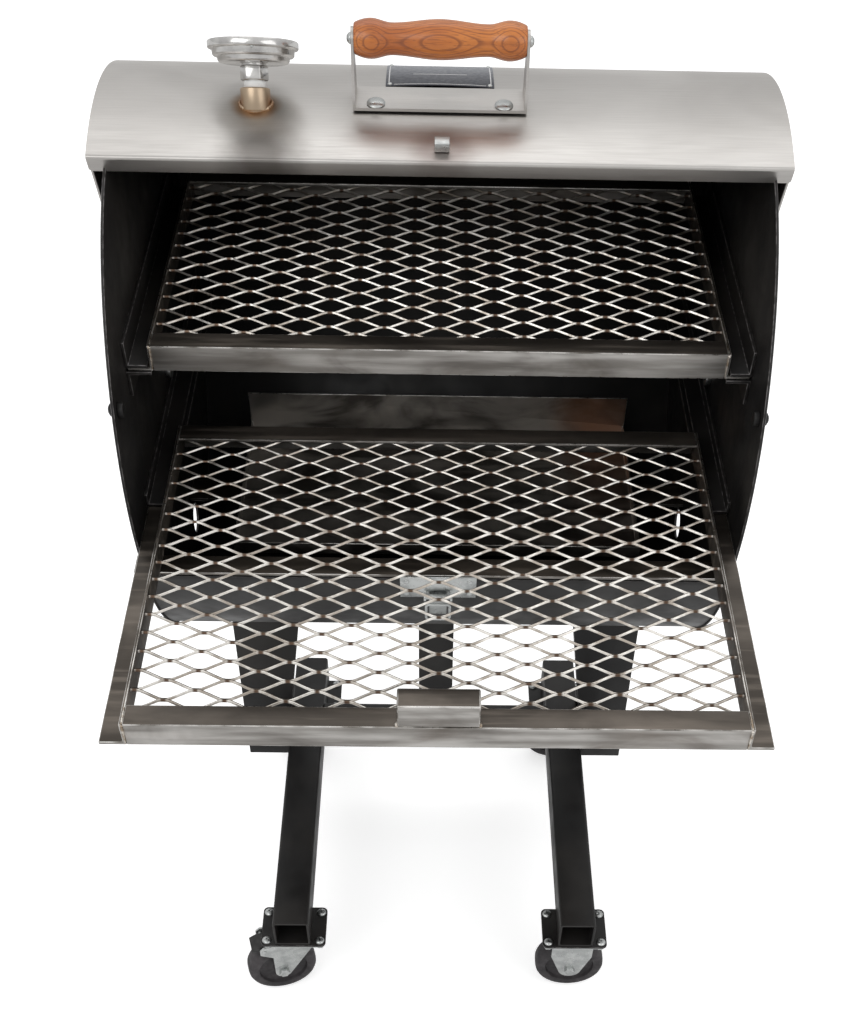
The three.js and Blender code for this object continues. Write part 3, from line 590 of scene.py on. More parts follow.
def bead(name, points, radius_mm, body, closed=False, slot="mill_steel", material=None):
    """A weld bead along a path, with the ripples of its passes."""
    mesh = bmesh.new()
    path = [Vector(p) for p in points]
    steps = max(8, int(sum((b - a).length for a, b in zip(path, path[1:])) / (0.9 * MM)))
    lengths = [0.0]
    for a, b in zip(path, path[1:]):
        lengths.append(lengths[-1] + (b - a).length)
    loops = []
    for i in range(steps + (0 if closed else 1)):
        s = lengths[-1] * i / steps
        k = max(j for j in range(len(path) - 1) if lengths[j] <= s + 1e-12)
        share = (s - lengths[k]) / max(lengths[k + 1] - lengths[k], 1e-9)
        centre = path[k].lerp(path[k + 1], share)
        forward = (path[k + 1] - path[k]).normalized()
        side = forward.cross(Z if abs(forward.z) < 0.9 else Y).normalized()
        up = side.cross(forward)
        end = 1.0 if closed else min(1.0, 0.45 + 2.2 * min(i, steps - i) / steps)
        ripple = radius_mm * MM * end * (1 + 0.16 * math.sin(i * 2.1) + 0.07 * math.sin(i * 0.83))
        ring = [2 * math.pi * j / 10 for j in range(10)]
        loops.append([centre + (side * math.cos(a) + up * math.sin(a)) * ripple for a in ring])
    loft(mesh, loops, ring=closed)
    return made(name, mesh, (material or WELD,), body, slot=slot, smooth=70)


# ---- barrel

WALL_STEPS = 240


def build_walls():
    for side in ("left", "right"):
        node = f"{side}_wall"
        low, high = node_box(node)
        radius = (high.z - low.z) / 2
        mesh = bmesh.new()
        outline = [rim(radius, 360 * i / WALL_STEPS) for i in range(WALL_STEPS)]
        prism(mesh, outline, low.x, high.x, BARREL)
        cutter = bmesh.new()
        vent = basis(Y, Z, X, BARREL_AXIS + VENT_CENTRE)
        turn(cutter, [(0, low.x - 9), (18, low.x - 9), (18, high.x + 9), (0, high.x + 9)], vent, 40)
        sill_low, sill_high = node_box("front_sill")
        notch = [(sill_low.y - 10, sill_low.z - 0.3), (sill_high.y + 0.4, sill_low.z - 0.3)]
        notch += [(sill_high.y + 0.4, sill_high.z + 0.3), (sill_low.y - 10, sill_high.z + 0.3)]
        prism(cutter, notch, low.x - 5, high.x + 5, basis(Y, Z, X, Vector()))
        made(f"{side}_wall_plate", mesh, (PAINT, PAINT_EDGE), "cart", (node,), soft=0.7, cutter=cutter)


def rolled(mesh, inner, outer, start, end, half, steps):
    """A sheet rolled about the barrel axis."""
    loops = []
    for i in range(steps + 1):
        degrees = start + (end - start) * i / steps
        corners = ((inner, -half), (outer, -half), (outer, half), (inner, half))
        loops.append([BARREL @ (Vector((*rim(radius, degrees), x)) * MM) for radius, x in corners])
    loft(mesh, loops)


def build_shell():
    low, high = node_box("barrel_shell")
    axis = BARREL_AXIS / MM
    outer = axis.z - low.z
    inner = outer - 3
    half = high.x
    mesh = bmesh.new()
    rolled(mesh, inner, outer, -15.5, 110 - 360, half, 160)
    cutter = bmesh.new()
    drain = Vector((0, middle("drain_tube").y, 0))
    turn(cutter, [(0, low.z - 20), (20, low.z - 20), (20, low.z + 40), (0, low.z + 40)], along(Z, drain), 40)
    made("barrel_skin", mesh, (PAINT, PAINT_EDGE), "cart", ("barrel_shell",), soft=0.6, cutter=cutter)
    refined("front_sill", (MILL, EDGE), 0.6)
    for side in (-1, 1):
        points = [
            BARREL @ (Vector((*rim(outer + 0.3, d), side * (half - 0.6))) * MM)
            for d in range(-16, -250, -2)
        ]
        name = "left" if side < 0 else "right"
        bead(f"{name}_wall_weld", points, 1.9, "cart", slot="black_paint", material=PAINT)


def turned_piece(node, profile, place, material, steps=48, soft=0.4, name=None):
    mesh = bmesh.new()
    turn(mesh, profile, place, steps)
    return made(name or f"{node}_turned", mesh, (material,), BODY_OF[node], (node,), soft=soft)


THROUGH_WALL = (311.2, 314.8)  # x where a bolt is narrow, to pass through the barrel's wall
THROUGH_LID_END = (324.2, 327.3)  # and through the lid's end


def build_bolts():
    wall_in, wall_out = THROUGH_WALL
    lid_in, lid_out = THROUGH_LID_END
    for side, sign in (("left", -1), ("right", 1)):
        low, high = node_box(f"{side}_pivot_bolt")
        inner, outer = sorted((abs(low.x), abs(high.x)))
        profile = [(0, inner), (9.5, inner), (9.5, wall_in), (6, wall_in), (6, wall_out), (12, wall_out)]
        profile += [(12, lid_in), (6, lid_in), (6, lid_out), (10.5, lid_out), (10.5, 330)]
        profile += [(9, 332.6), (5, outer - 0.4), (0, outer)]
        turned_piece(f"{side}_pivot_bolt", profile, along(X * sign, BARREL_AXIS), ZINC, 40, 0.5)
        low, high = node_box(f"{side}_stop_bolt")
        inner, outer = sorted((abs(low.x), abs(high.x)))
        centre = middle(f"{side}_stop_bolt")
        centre.x = 0
        profile = [(0, inner), (7, inner), (7, wall_in), (4, wall_in), (4, wall_out), (7, wall_out)]
        profile += [(6.8, 317), (5.6, 319), (3, outer - 0.5), (0, outer)]
        turned_piece(f"{side}_stop_bolt", profile, along(X * sign, centre), PAINT, 40, 0.4)


def build_inside():
    for level in ("lower", "upper"):
        for side in ("left", "right"):
            refined(f"{level}_runner_{side}", (PAINT, PAINT_EDGE), 0.6)
            refined(f"{level}_retainer_{side}", (PAINT, PAINT_EDGE), 0.6)
    refined("drip_pan", (PAN, EDGE), 0.8)
    refined("pan_rest", (MILL, EDGE), 0.6)


# ---- grates

STRAND_WIDTH = 3.9
STRAND_THICKNESS = 2.5
STRAND_TILT = 33  # the near side of each strand is raised
BOND_ROW = 12.5  # from the front of the frame to its first row of bonds
STRAND_BEND = ((0, 1.0), (2.5, 0.985), (5, 0.87), (11, 0.30), (17, -0.30), (23, -0.87), (25.5, -0.985))


def strand_section():
    """A chamfered rectangle, as (across, up, material) with 1 for the sheared sides."""
    w, t, c = STRAND_WIDTH / 2, STRAND_THICKNESS / 2, 0.45
    corners = [(-w, -t + c), (-w, t - c), (-w + c, t), (w - c, t)]
    corners += [(w, t - c), (w, -t + c), (w - c, -t), (-w + c, -t)]
    return corners, [1, 1, 0, 1, 1, 1, 0, 1]


def strand_stations(reach, shift):
    """(x, height) along a strand: +1 where it joins the one behind, -1 where it joins the one in front."""
    half = LONG_WAY / 2
    stations = []
    first = math.floor((-reach - shift) / half)
    last = math.ceil((reach - shift) / half)
    for k in range(first, last):
        sign = 1 if k % 2 == 0 else -1
        for offset, height in STRAND_BEND:
            x = shift + k * half + offset
            if -reach < x < reach:
                stations.append((x, sign * height))
    return [(-reach, stations[0][1]), *stations, (reach, stations[-1][1])]


def build_expanded_metal(level):
    node = f"{level}_grate_mesh"
    high = node_box(node)[1]
    tilt = math.radians(STRAND_TILT)
    corners, paints = strand_section()
    rise = STRAND_WIDTH / 2 * math.sin(tilt)
    reach_back = STRAND_WIDTH / 2 * math.cos(tilt)
    top = high.z - rise * 2 - 0.4
    amplitude = SHORT_WAY / 4 - reach_back + 0.15
    mesh = bmesh.new()
    frame_front = node_box(f"{level}_grate_frame")[0].y
    count = int((high.y - frame_front - BOND_ROW / 2) / (SHORT_WAY / 2)) + 1
    for k in range(1, count - 1):
        y = frame_front + BOND_ROW + SHORT_WAY / 2 * (k - 0.5)
        shift = LONG_WAY / 2 if k % 2 == 0 else 0.0
        loops = []
        for x, height in strand_stations(high.x, shift):
            loop = []
            for across, up in corners:
                dy = across * math.cos(tilt) + up * math.sin(tilt)
                dz = -across * math.sin(tilt) + up * math.cos(tilt)
                loop.append(Vector((x, y + height * amplitude + dy, top + height * rise + dz)) * MM)
            loops.append(loop)
        loft(mesh, loops, paints=paints)
    made(f"{level}_grate_strands", mesh, (STRAND_SCALE, STRAND), f"{level}_grate", (node,), smooth=35)


ANGLE_LEG = 25.4
ANGLE_THICKNESS = 3.2


def angle_bar(mesh, corner, flange, leg, low, high, place):
    """A steel angle from its outer corner; flange and leg say which way its two sides go."""
    u, v = corner
    across, up = flange * ANGLE_LEG, leg * ANGLE_LEG
    thin_u, thin_v = flange * ANGLE_THICKNESS, leg * ANGLE_THICKNESS
    outline = [(u, v), (u + across, v), (u + across, v + thin_v)]
    outline += [(u + thin_u, v + thin_v), (u + thin_u, v + up)]
    prism(mesh, [*outline, (u, v + up)], low, high, place)


def build_grate_frame(level):
    """Side angles with their flanges outwards below, front and back angles with theirs inwards on top."""
    node = f"{level}_grate_frame"
    low, high = node_box(node)
    inner = high.x - ANGLE_LEG
    mesh = bmesh.new()
    lengthwise = basis(X, Z, -Y, Vector())
    for side in (-1, 1):
        angle_bar(mesh, (side * inner, low.z), side, 1, -high.y, -low.y, lengthwise)
    crosswise = basis(Y, Z, X, Vector())
    angle_bar(mesh, (low.y, high.z), 1, -1, -inner, inner, crosswise)
    angle_bar(mesh, (high.y, high.z), -1, -1, -inner, inner, crosswise)
    made(f"{node}_bars", mesh, (GRATE, EDGE), f"{level}_grate", (node,), soft=0.9)


def build_grates():
    for level in ("lower", "upper"):
        build_grate_frame(level)
        build_expanded_metal(level)
        low, high = node_box(f"{level}_grate_frame")
        inner = high.x - ANGLE_LEG
        for side in (-1, 1):
            name = f"{level}_grate_{'left' if side < 0 else 'right'}_weld"
            x = side * (inner + 0.6)
            points = [
                (x, low.y - 0.2, low.z + 2),
                (x, low.y - 0.2, high.z - 1),
                (x, low.y + 22, high.z + 0.1),
            ]
            bead(name, scaled(points), 1.25, f"{level}_grate", slot="grate_steel")
    refined("lower_grate_handle", (GRATE, EDGE), 1.4)
    low, high = node_box("lower_grate_handle")
    for side in (-1, 1):
        x = side * (high.x + 0.2)
        points = [(x, low.y + 0.4, low.z + 0.6), (x, low.y + 5.5, low.z + 0.4)]
        bead(f"tab_weld_{'left' if side < 0 else 'right'}", scaled(points), 2.1, "lower_grate")


# ---- cart


TUBE_WALL = 3.2
TUBE_CORNER = 4.5
TUBE_BORE_CORNER = 1.9
TUBE_LIP = 0.6  # the rounding of the cut ends


def square_tube(node, direction):
    """A square tube with rounded corners, open at both ends."""
    low, high = node_box(node)
    axis = "xyz".index(direction)
    place = {"x": basis(Y, Z, X, Vector()), "y": basis(Z, X, Y, Vector())}[direction]
    across = [i for i in range(3) if i != axis]
    half = (high[across[0]] - low[across[0]]) / 2
    centre = (low + high) / 2
    centre[axis] = 0
    shift = Matrix.Translation(centre * MM)
    outer = rounded_rectangle(half, half, TUBE_CORNER)
    inner = rounded_rectangle(half - TUBE_WALL, half - TUBE_WALL, TUBE_BORE_CORNER)
    loops = []
    for outline, grow in ((outer, -TUBE_LIP), (inner, TUBE_LIP)):
        scale = 1 + grow / half
        lipped = [(u * scale, v * scale) for u, v in outline]
        stations = [(lipped, low[axis]), (outline, low[axis] + TUBE_LIP)]
        stations += [(outline, high[axis] - TUBE_LIP), (lipped, high[axis])]
        if outline is inner:
            stations.reverse()
        loops += [[(u, v, at) for u, v in points] for points, at in stations]
    mesh = bmesh.new()
    loft(mesh, [[shift @ (place @ (Vector(p) * MM)) for p in loop] for loop in loops], ring=True)
    return made(f"{node}_section", mesh, (PAINT,), BODY_OF[node], (node,), smooth=35)


def build_cart():
    square_tube("left_rail", "y")
    square_tube("right_rail", "y")
    square_tube("cross_tube", "x")
    refined("drain_tube", (PAINT, PAINT_EDGE), 1.2)
    for side in ("left", "right"):
        refined(f"{side}_leg", (PAINT, PAINT_EDGE), 1.1)
        sign = -1 if side == "left" else 1
        low, high = node_box(f"{side}_rail")
        leg_low, leg_high = node_box(f"{side}_leg")
        x = high.x if side == "right" else low.x
        for name, y in (("front", leg_low.y), ("rear", leg_high.y)):
            points = [(x + sign * 0.8, y, low.z + 3), (x + sign * 0.8, y, high.z - 3)]
            bead(f"{side}_leg_{name}_weld", scaled(points), 1.8, "cart", slot="black_paint", material=PAINT)


# ---- casters


def recessed_head(mesh, place, radius, height):
    """A domed screw head with a cross recess."""
    dome = [(0, 0), (radius, 0)]
    dome += [
        (radius * math.cos(math.radians(a)), height * math.sin(math.radians(a)))
        for a in (15, 30, 45, 60, 75)
    ]
    turn(mesh, [*dome, (0, height)], place, 28)
    arm, width, depth = radius * 0.52, radius * 0.15, height * 0.96
    for turned_by in (0, 90):
        turn_matrix = place @ Matrix.Rotation(math.radians(turned_by + 20), 4, "Z")
        outline = [(-arm, -width), (arm, -width), (arm, width), (-arm, width)]
        prism(mesh, outline, depth, height + 0.05, turn_matrix)


CASTER_BOLTS = [(x, y) for x in (-38, 38) for y in (-25, 25)]


def build_caster_plates():
    for end in ("front", "rear"):
        for side in ("left", "right"):
            node = f"{end}_{side}_caster_{'plate' if side == 'left' else 'frame'}"
            x = (node_box(f"{side}_rail")[0].x + node_box(f"{side}_rail")[1].x) / 2
            high = node_box(node)[1]
            pivot = JOINTS[f"{end}_{side}_{'swivel_turn' if side == 'left' else 'wheel_spin'}"]["pos_m"]
            centre = Vector((x * MM, pivot[1], 0))
            place = Matrix.Translation(centre)
            plate = bmesh.new()
            prism(plate, rounded_rectangle(46.5, 34.5, 7), high.z - 3.1, high.z, place)
            plate_name = f"{end}_{side}_mounting_plate"
            made(plate_name, plate, (PAINT, PAINT_EDGE), "cart", slot="black_paint", soft=0.5)
            lower = bmesh.new()
            prism(lower, rounded_rectangle(45.5, 33.5, 7), high.z - 5.9, high.z - 3.1, place)
            made(f"{end}_{side}_top_plate", lower, (ZINC,), "cart", slot="zinc", soft=0.5)
            heads = bmesh.new()
            for bx, by in CASTER_BOLTS:
                top = place @ Matrix.Translation(Vector((bx, by, high.z)) * MM)
                recessed_head(heads, top, 6.8, 3.6)
                nut = place @ Matrix.Translation(Vector((bx, by, high.z - 11.5)) * MM)
                turn(heads, [(0, 0), (6.2, 0), (6.2, 5.5), (0, 5.5)], nut, 6)
            made(f"{end}_{side}_plate_bolts", heads, (ZINC,), "cart", slot="zinc", smooth=50)
            if side == "left":
                race = bmesh.new()
                profile = [(0, 103.5), (9, 103.5), (9, 107), (6, 107), (6, 118)]
                profile += [(24, 118), (28, 119.5), (28, 122), (25, 124)]
                turn(race, [*profile, (0, 124)], place, 48)
                made(f"{end}_left_race", race, (ZINC,), "cart", (node,), soft=0.4)
            else:
                fork = rigid_fork(centre / MM, high.z - 5.9)
                made(f"{end}_right_fork", fork, (ZINC,), "cart", (node,), soft=0.5)


def axle_nuts(mesh, centre, direction):
    """Axle with a hexagon head and a nut outside the fork."""
    place = along(direction, centre)
    turn(mesh, [(0, -20), (4.8, -20), (4.8, 20), (0, 20)], place, 24)
    for sign in (-1, 1):
        out = place if sign > 0 else place @ Matrix.Rotation(math.pi, 4, "X")
        turn(mesh, [(0, 20.1), (8, 20.1), (8, 24.6), (6.6, 25.7), (0, 25.7)], out, 6)


def rigid_fork(centre, top):
    """Two side plates with a tapering foot, hung from a pressed crown."""
    mesh = bmesh.new()
    place = basis(X, Z, -Y, centre * MM)
    wheel_height = JOINTS["front_right_wheel_spin"]["pos_m"][2] / MM
    outline = [(30, top), (-30, top), (-30, 84), *arc(0, wheel_height, 17, 205, 335, 16), (30, 84)]
    for low, high in ((17.2, 20.2), (-20.2, -17.2)):
        prism(mesh, outline, low, high, place)
    crown = [(-30, -20.2), (30, -20.2), (30, 20.2), (-30, 20.2)]
    prism(mesh, crown, top - 3, top - 0.1, Matrix.Translation(centre * MM))
    axle_nuts(mesh, Vector((centre.x, centre.y, wheel_height)) * MM, Y)
    return mesh


def swivel_fork(swivel, spin, axis):
    """Side plates that trail behind the kingpin."""
    mesh = bmesh.new()
    trail = Vector(spin) - Vector(swivel)
    trail.z = 0
    offset = trail.length / MM
    forward = trail.normalized()
    side = Vector(axis)
    origin = Vector((swivel[0], swivel[1], 0))
    place = basis(forward, Z, forward.cross(Z), origin)
    top = 117.6
    outline = [(-21, top), (-21, 100), *arc(offset, spin[2] / MM, 12.5, 215, 360, 14)]
    outline += [(offset + 12.5, 90), (56, 102), (56, 112), (50, top)]
    for low, high in ((17.2, 20.2), (-20.2, -17.2)):
        prism(mesh, outline, low, high, place)
    flat = basis(forward, Z.cross(forward), Z, origin)
    crown = [*arc(0, 0, 27, 48.6, 311.4, 30), (40, -20.2), (40, 20.2)]
    prism(mesh, crown, top - 3, top, flat)
    axle_nuts(mesh, Vector(spin), side)
    pin = along(side, origin + forward * 50 * MM + Z * 107.8 * MM)
    head = [(0, 21.5), (4, 21.5), (4, 20.2), (2.6, 20.2)]
    turn(mesh, [(radius, -height) for radius, height in head] + head[::-1], pin, 20)
    return mesh


WHEEL_HALF = [(5.4, 16), (13, 16), (14, 15), (15, 9.5), (17, 8.6)]
WHEEL_HALF += [(32, 8.6), (34.5, 9.6), (36, 14.2), (38, 14.9)]
WHEEL_HALF += [(45, 14.6), (48.3, 12.8), (50.2, 9.5), (50.8, 5), (50.8, 0)]


def build_wheels():
    for end in ("front", "rear"):
        for side in ("left", "right"):
            joint = JOINTS[f"{end}_{side}_wheel_spin"]
            mesh = bmesh.new()
            profile = [(r, -h) for r, h in WHEEL_HALF] + WHEEL_HALF[-2::-1]
            turn(mesh, profile, along(joint["axis"], Vector(joint["pos_m"])), 72, ring=True)
            node = f"{end}_{side}_wheel"
            made(f"{node}_tyre", mesh, (POLYMER,), BODY_OF[node], (node,), smooth=38)


def build_swivels():
    for end in ("front", "rear"):
        swivel = JOINTS[f"{end}_left_swivel_turn"]["pos_m"]
        joint = JOINTS[f"{end}_left_wheel_spin"]
        node = f"{end}_left_caster_fork"
        fork = swivel_fork(swivel, joint["pos_m"], joint["axis"])
        made(f"{node}_pressing", fork, (ZINC,), BODY_OF[node], (node,), soft=0.5)
        refined(f"{end}_left_brake_pedal", (BLACK,), 1.2)


# ---- lid

LID_STEPS = 130
FOLD_RADIUS = 3.0
SHEET_THICKNESS = 2.0
LIP_DEPTH = 15.5
END_PLATE_INSET = 0.6  # degrees the end plates start behind the fold


def lid_angles():
    """Lead and trail angle of the lid at rest, from its end plate."""
    node = NODES["lid_end_left"]
    rim_points = [v.co for v in node.data.vertices if (v.co - BARREL_AXIS).yz.length > 0.25]
    degrees = [angle_of(p) % 360 for p in rim_points]
    return min(degrees), max(degrees)


LEAD, TRAIL = lid_angles()
LID_RADIUS = (node_box("lid_sheet")[1].y - BARREL_AXIS.y / MM)


def lid_profile(depth):
    """Closed section of the lid in (y, z) about the barrel axis, with its folded lip this deep."""
    outer, inner = LID_RADIUS, LID_RADIUS - SHEET_THICKNESS
    start = LEAD + math.degrees((FOLD_RADIUS + 1) / outer)
    turns = [start + (TRAIL - start) * i / LID_STEPS for i in range(LID_STEPS + 1)]
    a = math.radians(LEAD)
    outward = (-math.cos(a), math.sin(a))
    onward = (math.sin(a), math.cos(a))

    def local(s, r):
        return outward[0] * r + onward[0] * s, outward[1] * r + onward[1] * s

    centre = outer - FOLD_RADIUS
    fold = [local(*p) for p in arc(FOLD_RADIUS, centre, FOLD_RADIUS, 90, 180, 8)]
    hem = [local(0, outer - depth), local(0.5, outer - depth - 0.5), local(1.5, outer - depth - 0.5)]
    hem.append(local(SHEET_THICKNESS, outer - depth))
    back = [local(*p) for p in arc(FOLD_RADIUS, centre, FOLD_RADIUS - SHEET_THICKNESS, 180, 90, 8)]
    return [rim(outer, d) for d in reversed(turns)] + fold + hem + back + [rim(inner, d) for d in turns]


def build_lid_sheet():
    half = node_box("lid_sheet")[1].x
    mesh = bmesh.new()
    stations = [(-half, LIP_DEPTH - 2), (-half + 2, LIP_DEPTH)]
    stations += [(-x, depth) for x, depth in reversed(stations)]
    loops = []
    for x, depth in stations:
        loops.append([BARREL @ (Vector((y, z, x)) * MM) for y, z in lid_profile(depth)])
    loft(mesh, loops)
    made("lid_skin", mesh, (LID,), "lid", ("lid_sheet",), smooth=35)
    for side in (-1, 1):
        x = side * (half - 0.4)
        points = [
            BARREL @ (Vector((*rim(LID_RADIUS - 2.6, LEAD + 1 + d), x)) * MM)
            for d in range(0, int(TRAIL - LEAD), 2)
        ]
        hand = "left" if side < 0 else "right"
        bead(f"lid_seam_{hand}", points, 1.1, "lid", slot="stainless", material=SHEET)


def build_lid_ends():
    for side in ("left", "right"):
        node = f"lid_end_{side}"
        low, high = node_box(node)
        radius = LID_RADIUS - 2.7
        start = LEAD + END_PLATE_INSET
        outline = [rim(radius, start + (TRAIL - start) * i / 90) for i in range(91)]
        outline += [rim(32, TRAIL + (start + 360 - TRAIL) * i / 40) for i in range(41)]
        mesh = bmesh.new()
        prism(mesh, outline, low.x, high.x, BARREL)
        made(f"{node}_plate", mesh, (SHEET,), "lid", (node,), soft=0.5)


def build_handle():
    refined("handle_bracket", (SHEET,), 0.0)
    grip = middle("handle_grip")
    degrees = angle_of(grip)
    place = radial(grip.x / MM, degrees)
    foot = 291.7  # from the barrel's axis to the face under the bolts' heads
    for side in ("left", "right"):
        node = f"bracket_bolt_{side}"
        centre = place.inverted() @ middle(node) / MM
        local = place @ Matrix.Translation(Vector((centre.x, centre.y, 0)) * MM)
        profile = [(0, foot - 2.6), (3, foot - 2.6), (3, foot)]
        profile += [(8.6, foot), (8.7, foot + 0.5), (8, foot + 1.5)]
        profile += [(6.2, foot + 2.4), (3.4, foot + 3.1), (0, foot + 3.3)]
        turned_piece(node, profile, local, ZINC, 40, 0.0)
    low, high = node_box("handle_grip")
    half = (high.x - low.x) / 2
    steps = 72
    profile = [(0, -half)]
    for i in range(steps + 1):
        x = -half + 2 * half * i / steps
        profile.append((grip_radius(x, half), x))
    profile.append((0, half))
    turned_piece("handle_grip", profile, along(X, grip), WOOD, 72, 0.7, "handle_grip_wood")
    low, high = node_box("grip_rod")
    end = (high.x - low.x) / 2
    nut = half + 3.1
    tip = nut + (end - nut) * 0.75
    rod = [(0, -tip), (2.2, -tip + 0.3), (4.0, -nut - 1.9), (4.6, -nut - 0.7), (4.6, -nut), (3, -nut)]
    turned_piece("grip_rod", rod + [(r, -h) for r, h in reversed(rod)], along(X, grip), ZINC, 32, 0.3)


def grip_radius(x, half):
    """The grip swells in the middle and near each end, with a neck between."""
    neck, bulb = 44.0, 63.0
    distance = abs(x)
    if distance < neck:
        return 13.75 + 1.55 * math.cos(math.pi * distance / neck)
    if distance < bulb:
        return 13.75 - 1.55 * math.cos(math.pi * (distance - neck) / (bulb - neck))
    past = (distance - bulb) / (half - bulb)
    return 15.3 - 3.6 * past * past


PLATE_HALF = (52.0, 38.0)


def plate_point(place, u, v, lift):
    """A point on the name plate, which follows the lid and bows up between its rivets."""
    bow = 1.5 * (1 - (u / PLATE_HALF[0]) ** 2) * (0.5 - 0.5 * v / PLATE_HALF[1]) ** 2
    radius = LID_RADIUS + 0.25 + bow + lift
    a = v / LID_RADIUS
    return place @ (Vector((u, radius * math.sin(a), radius * math.cos(a))) * MM)


def plate_patch(mesh, place, u0, u1, v0, v1, low, high):
    """A thin strip of the name plate's own curve."""
    steps = 20
    loops = []
    for i in range(steps + 1):
        u = u0 + (u1 - u0) * i / steps
        vs = [v0 + (v1 - v0) * j / steps for j in range(steps + 1)]
        under = [plate_point(place, u, v, low) for v in vs]
        over = [plate_point(place, u, v, high) for v in reversed(vs)]
        loops.append(under + over)
    loft(mesh, loops)


def build_name_plate():
    centre = middle("name_plate")
    place = radial(centre.x / MM, angle_of(centre))
    hu, hv = PLATE_HALF
    plate = bmesh.new()
    plate_patch(plate, place, -hu, hu, -hv, hv, 0.0, 0.8)
    made("name_plate_sheet", plate, (ENAMEL,), "lid", ("name_plate",), smooth=40)
    border = bmesh.new()
    inset, line = 3.0, 0.9
    u, v = hu - inset, hv - inset
    for sign in (-1, 1):
        plate_patch(border, place, -u + 5, u - 5, sign * v - line / 2, sign * v + line / 2, 0.8, 0.88)
        plate_patch(border, place, sign * u - line / 2, sign * u + line / 2, -v + 5, v - 5, 0.8, 0.88)
    plate_patch(border, place, -26, 26, -6.6, -5.4, 0.8, 0.88)
    made("name_plate_border", border, (PALE_PRINT,), "lid", slot="plate_enamel")
    rivets = bmesh.new()
    for ru in (-1, 1):
        for rv in (-1, 1):
            at = plate_point(place, ru * (hu - 4), rv * (hv - 4), 0.7)
            outward = along(at - BARREL_AXIS - X * at.x, at)
            turn(rivets, [(0, 0), (2.2, 0), (2.0, 0.7), (1.2, 1.2), (0, 1.4)], outward, 20)
    made("name_plate_rivets", rivets, (ZINC,), "lid", slot="zinc", smooth=50)


# ---- thermometer


POINTER_REST = 150  # degrees the pointer is turned to at rest


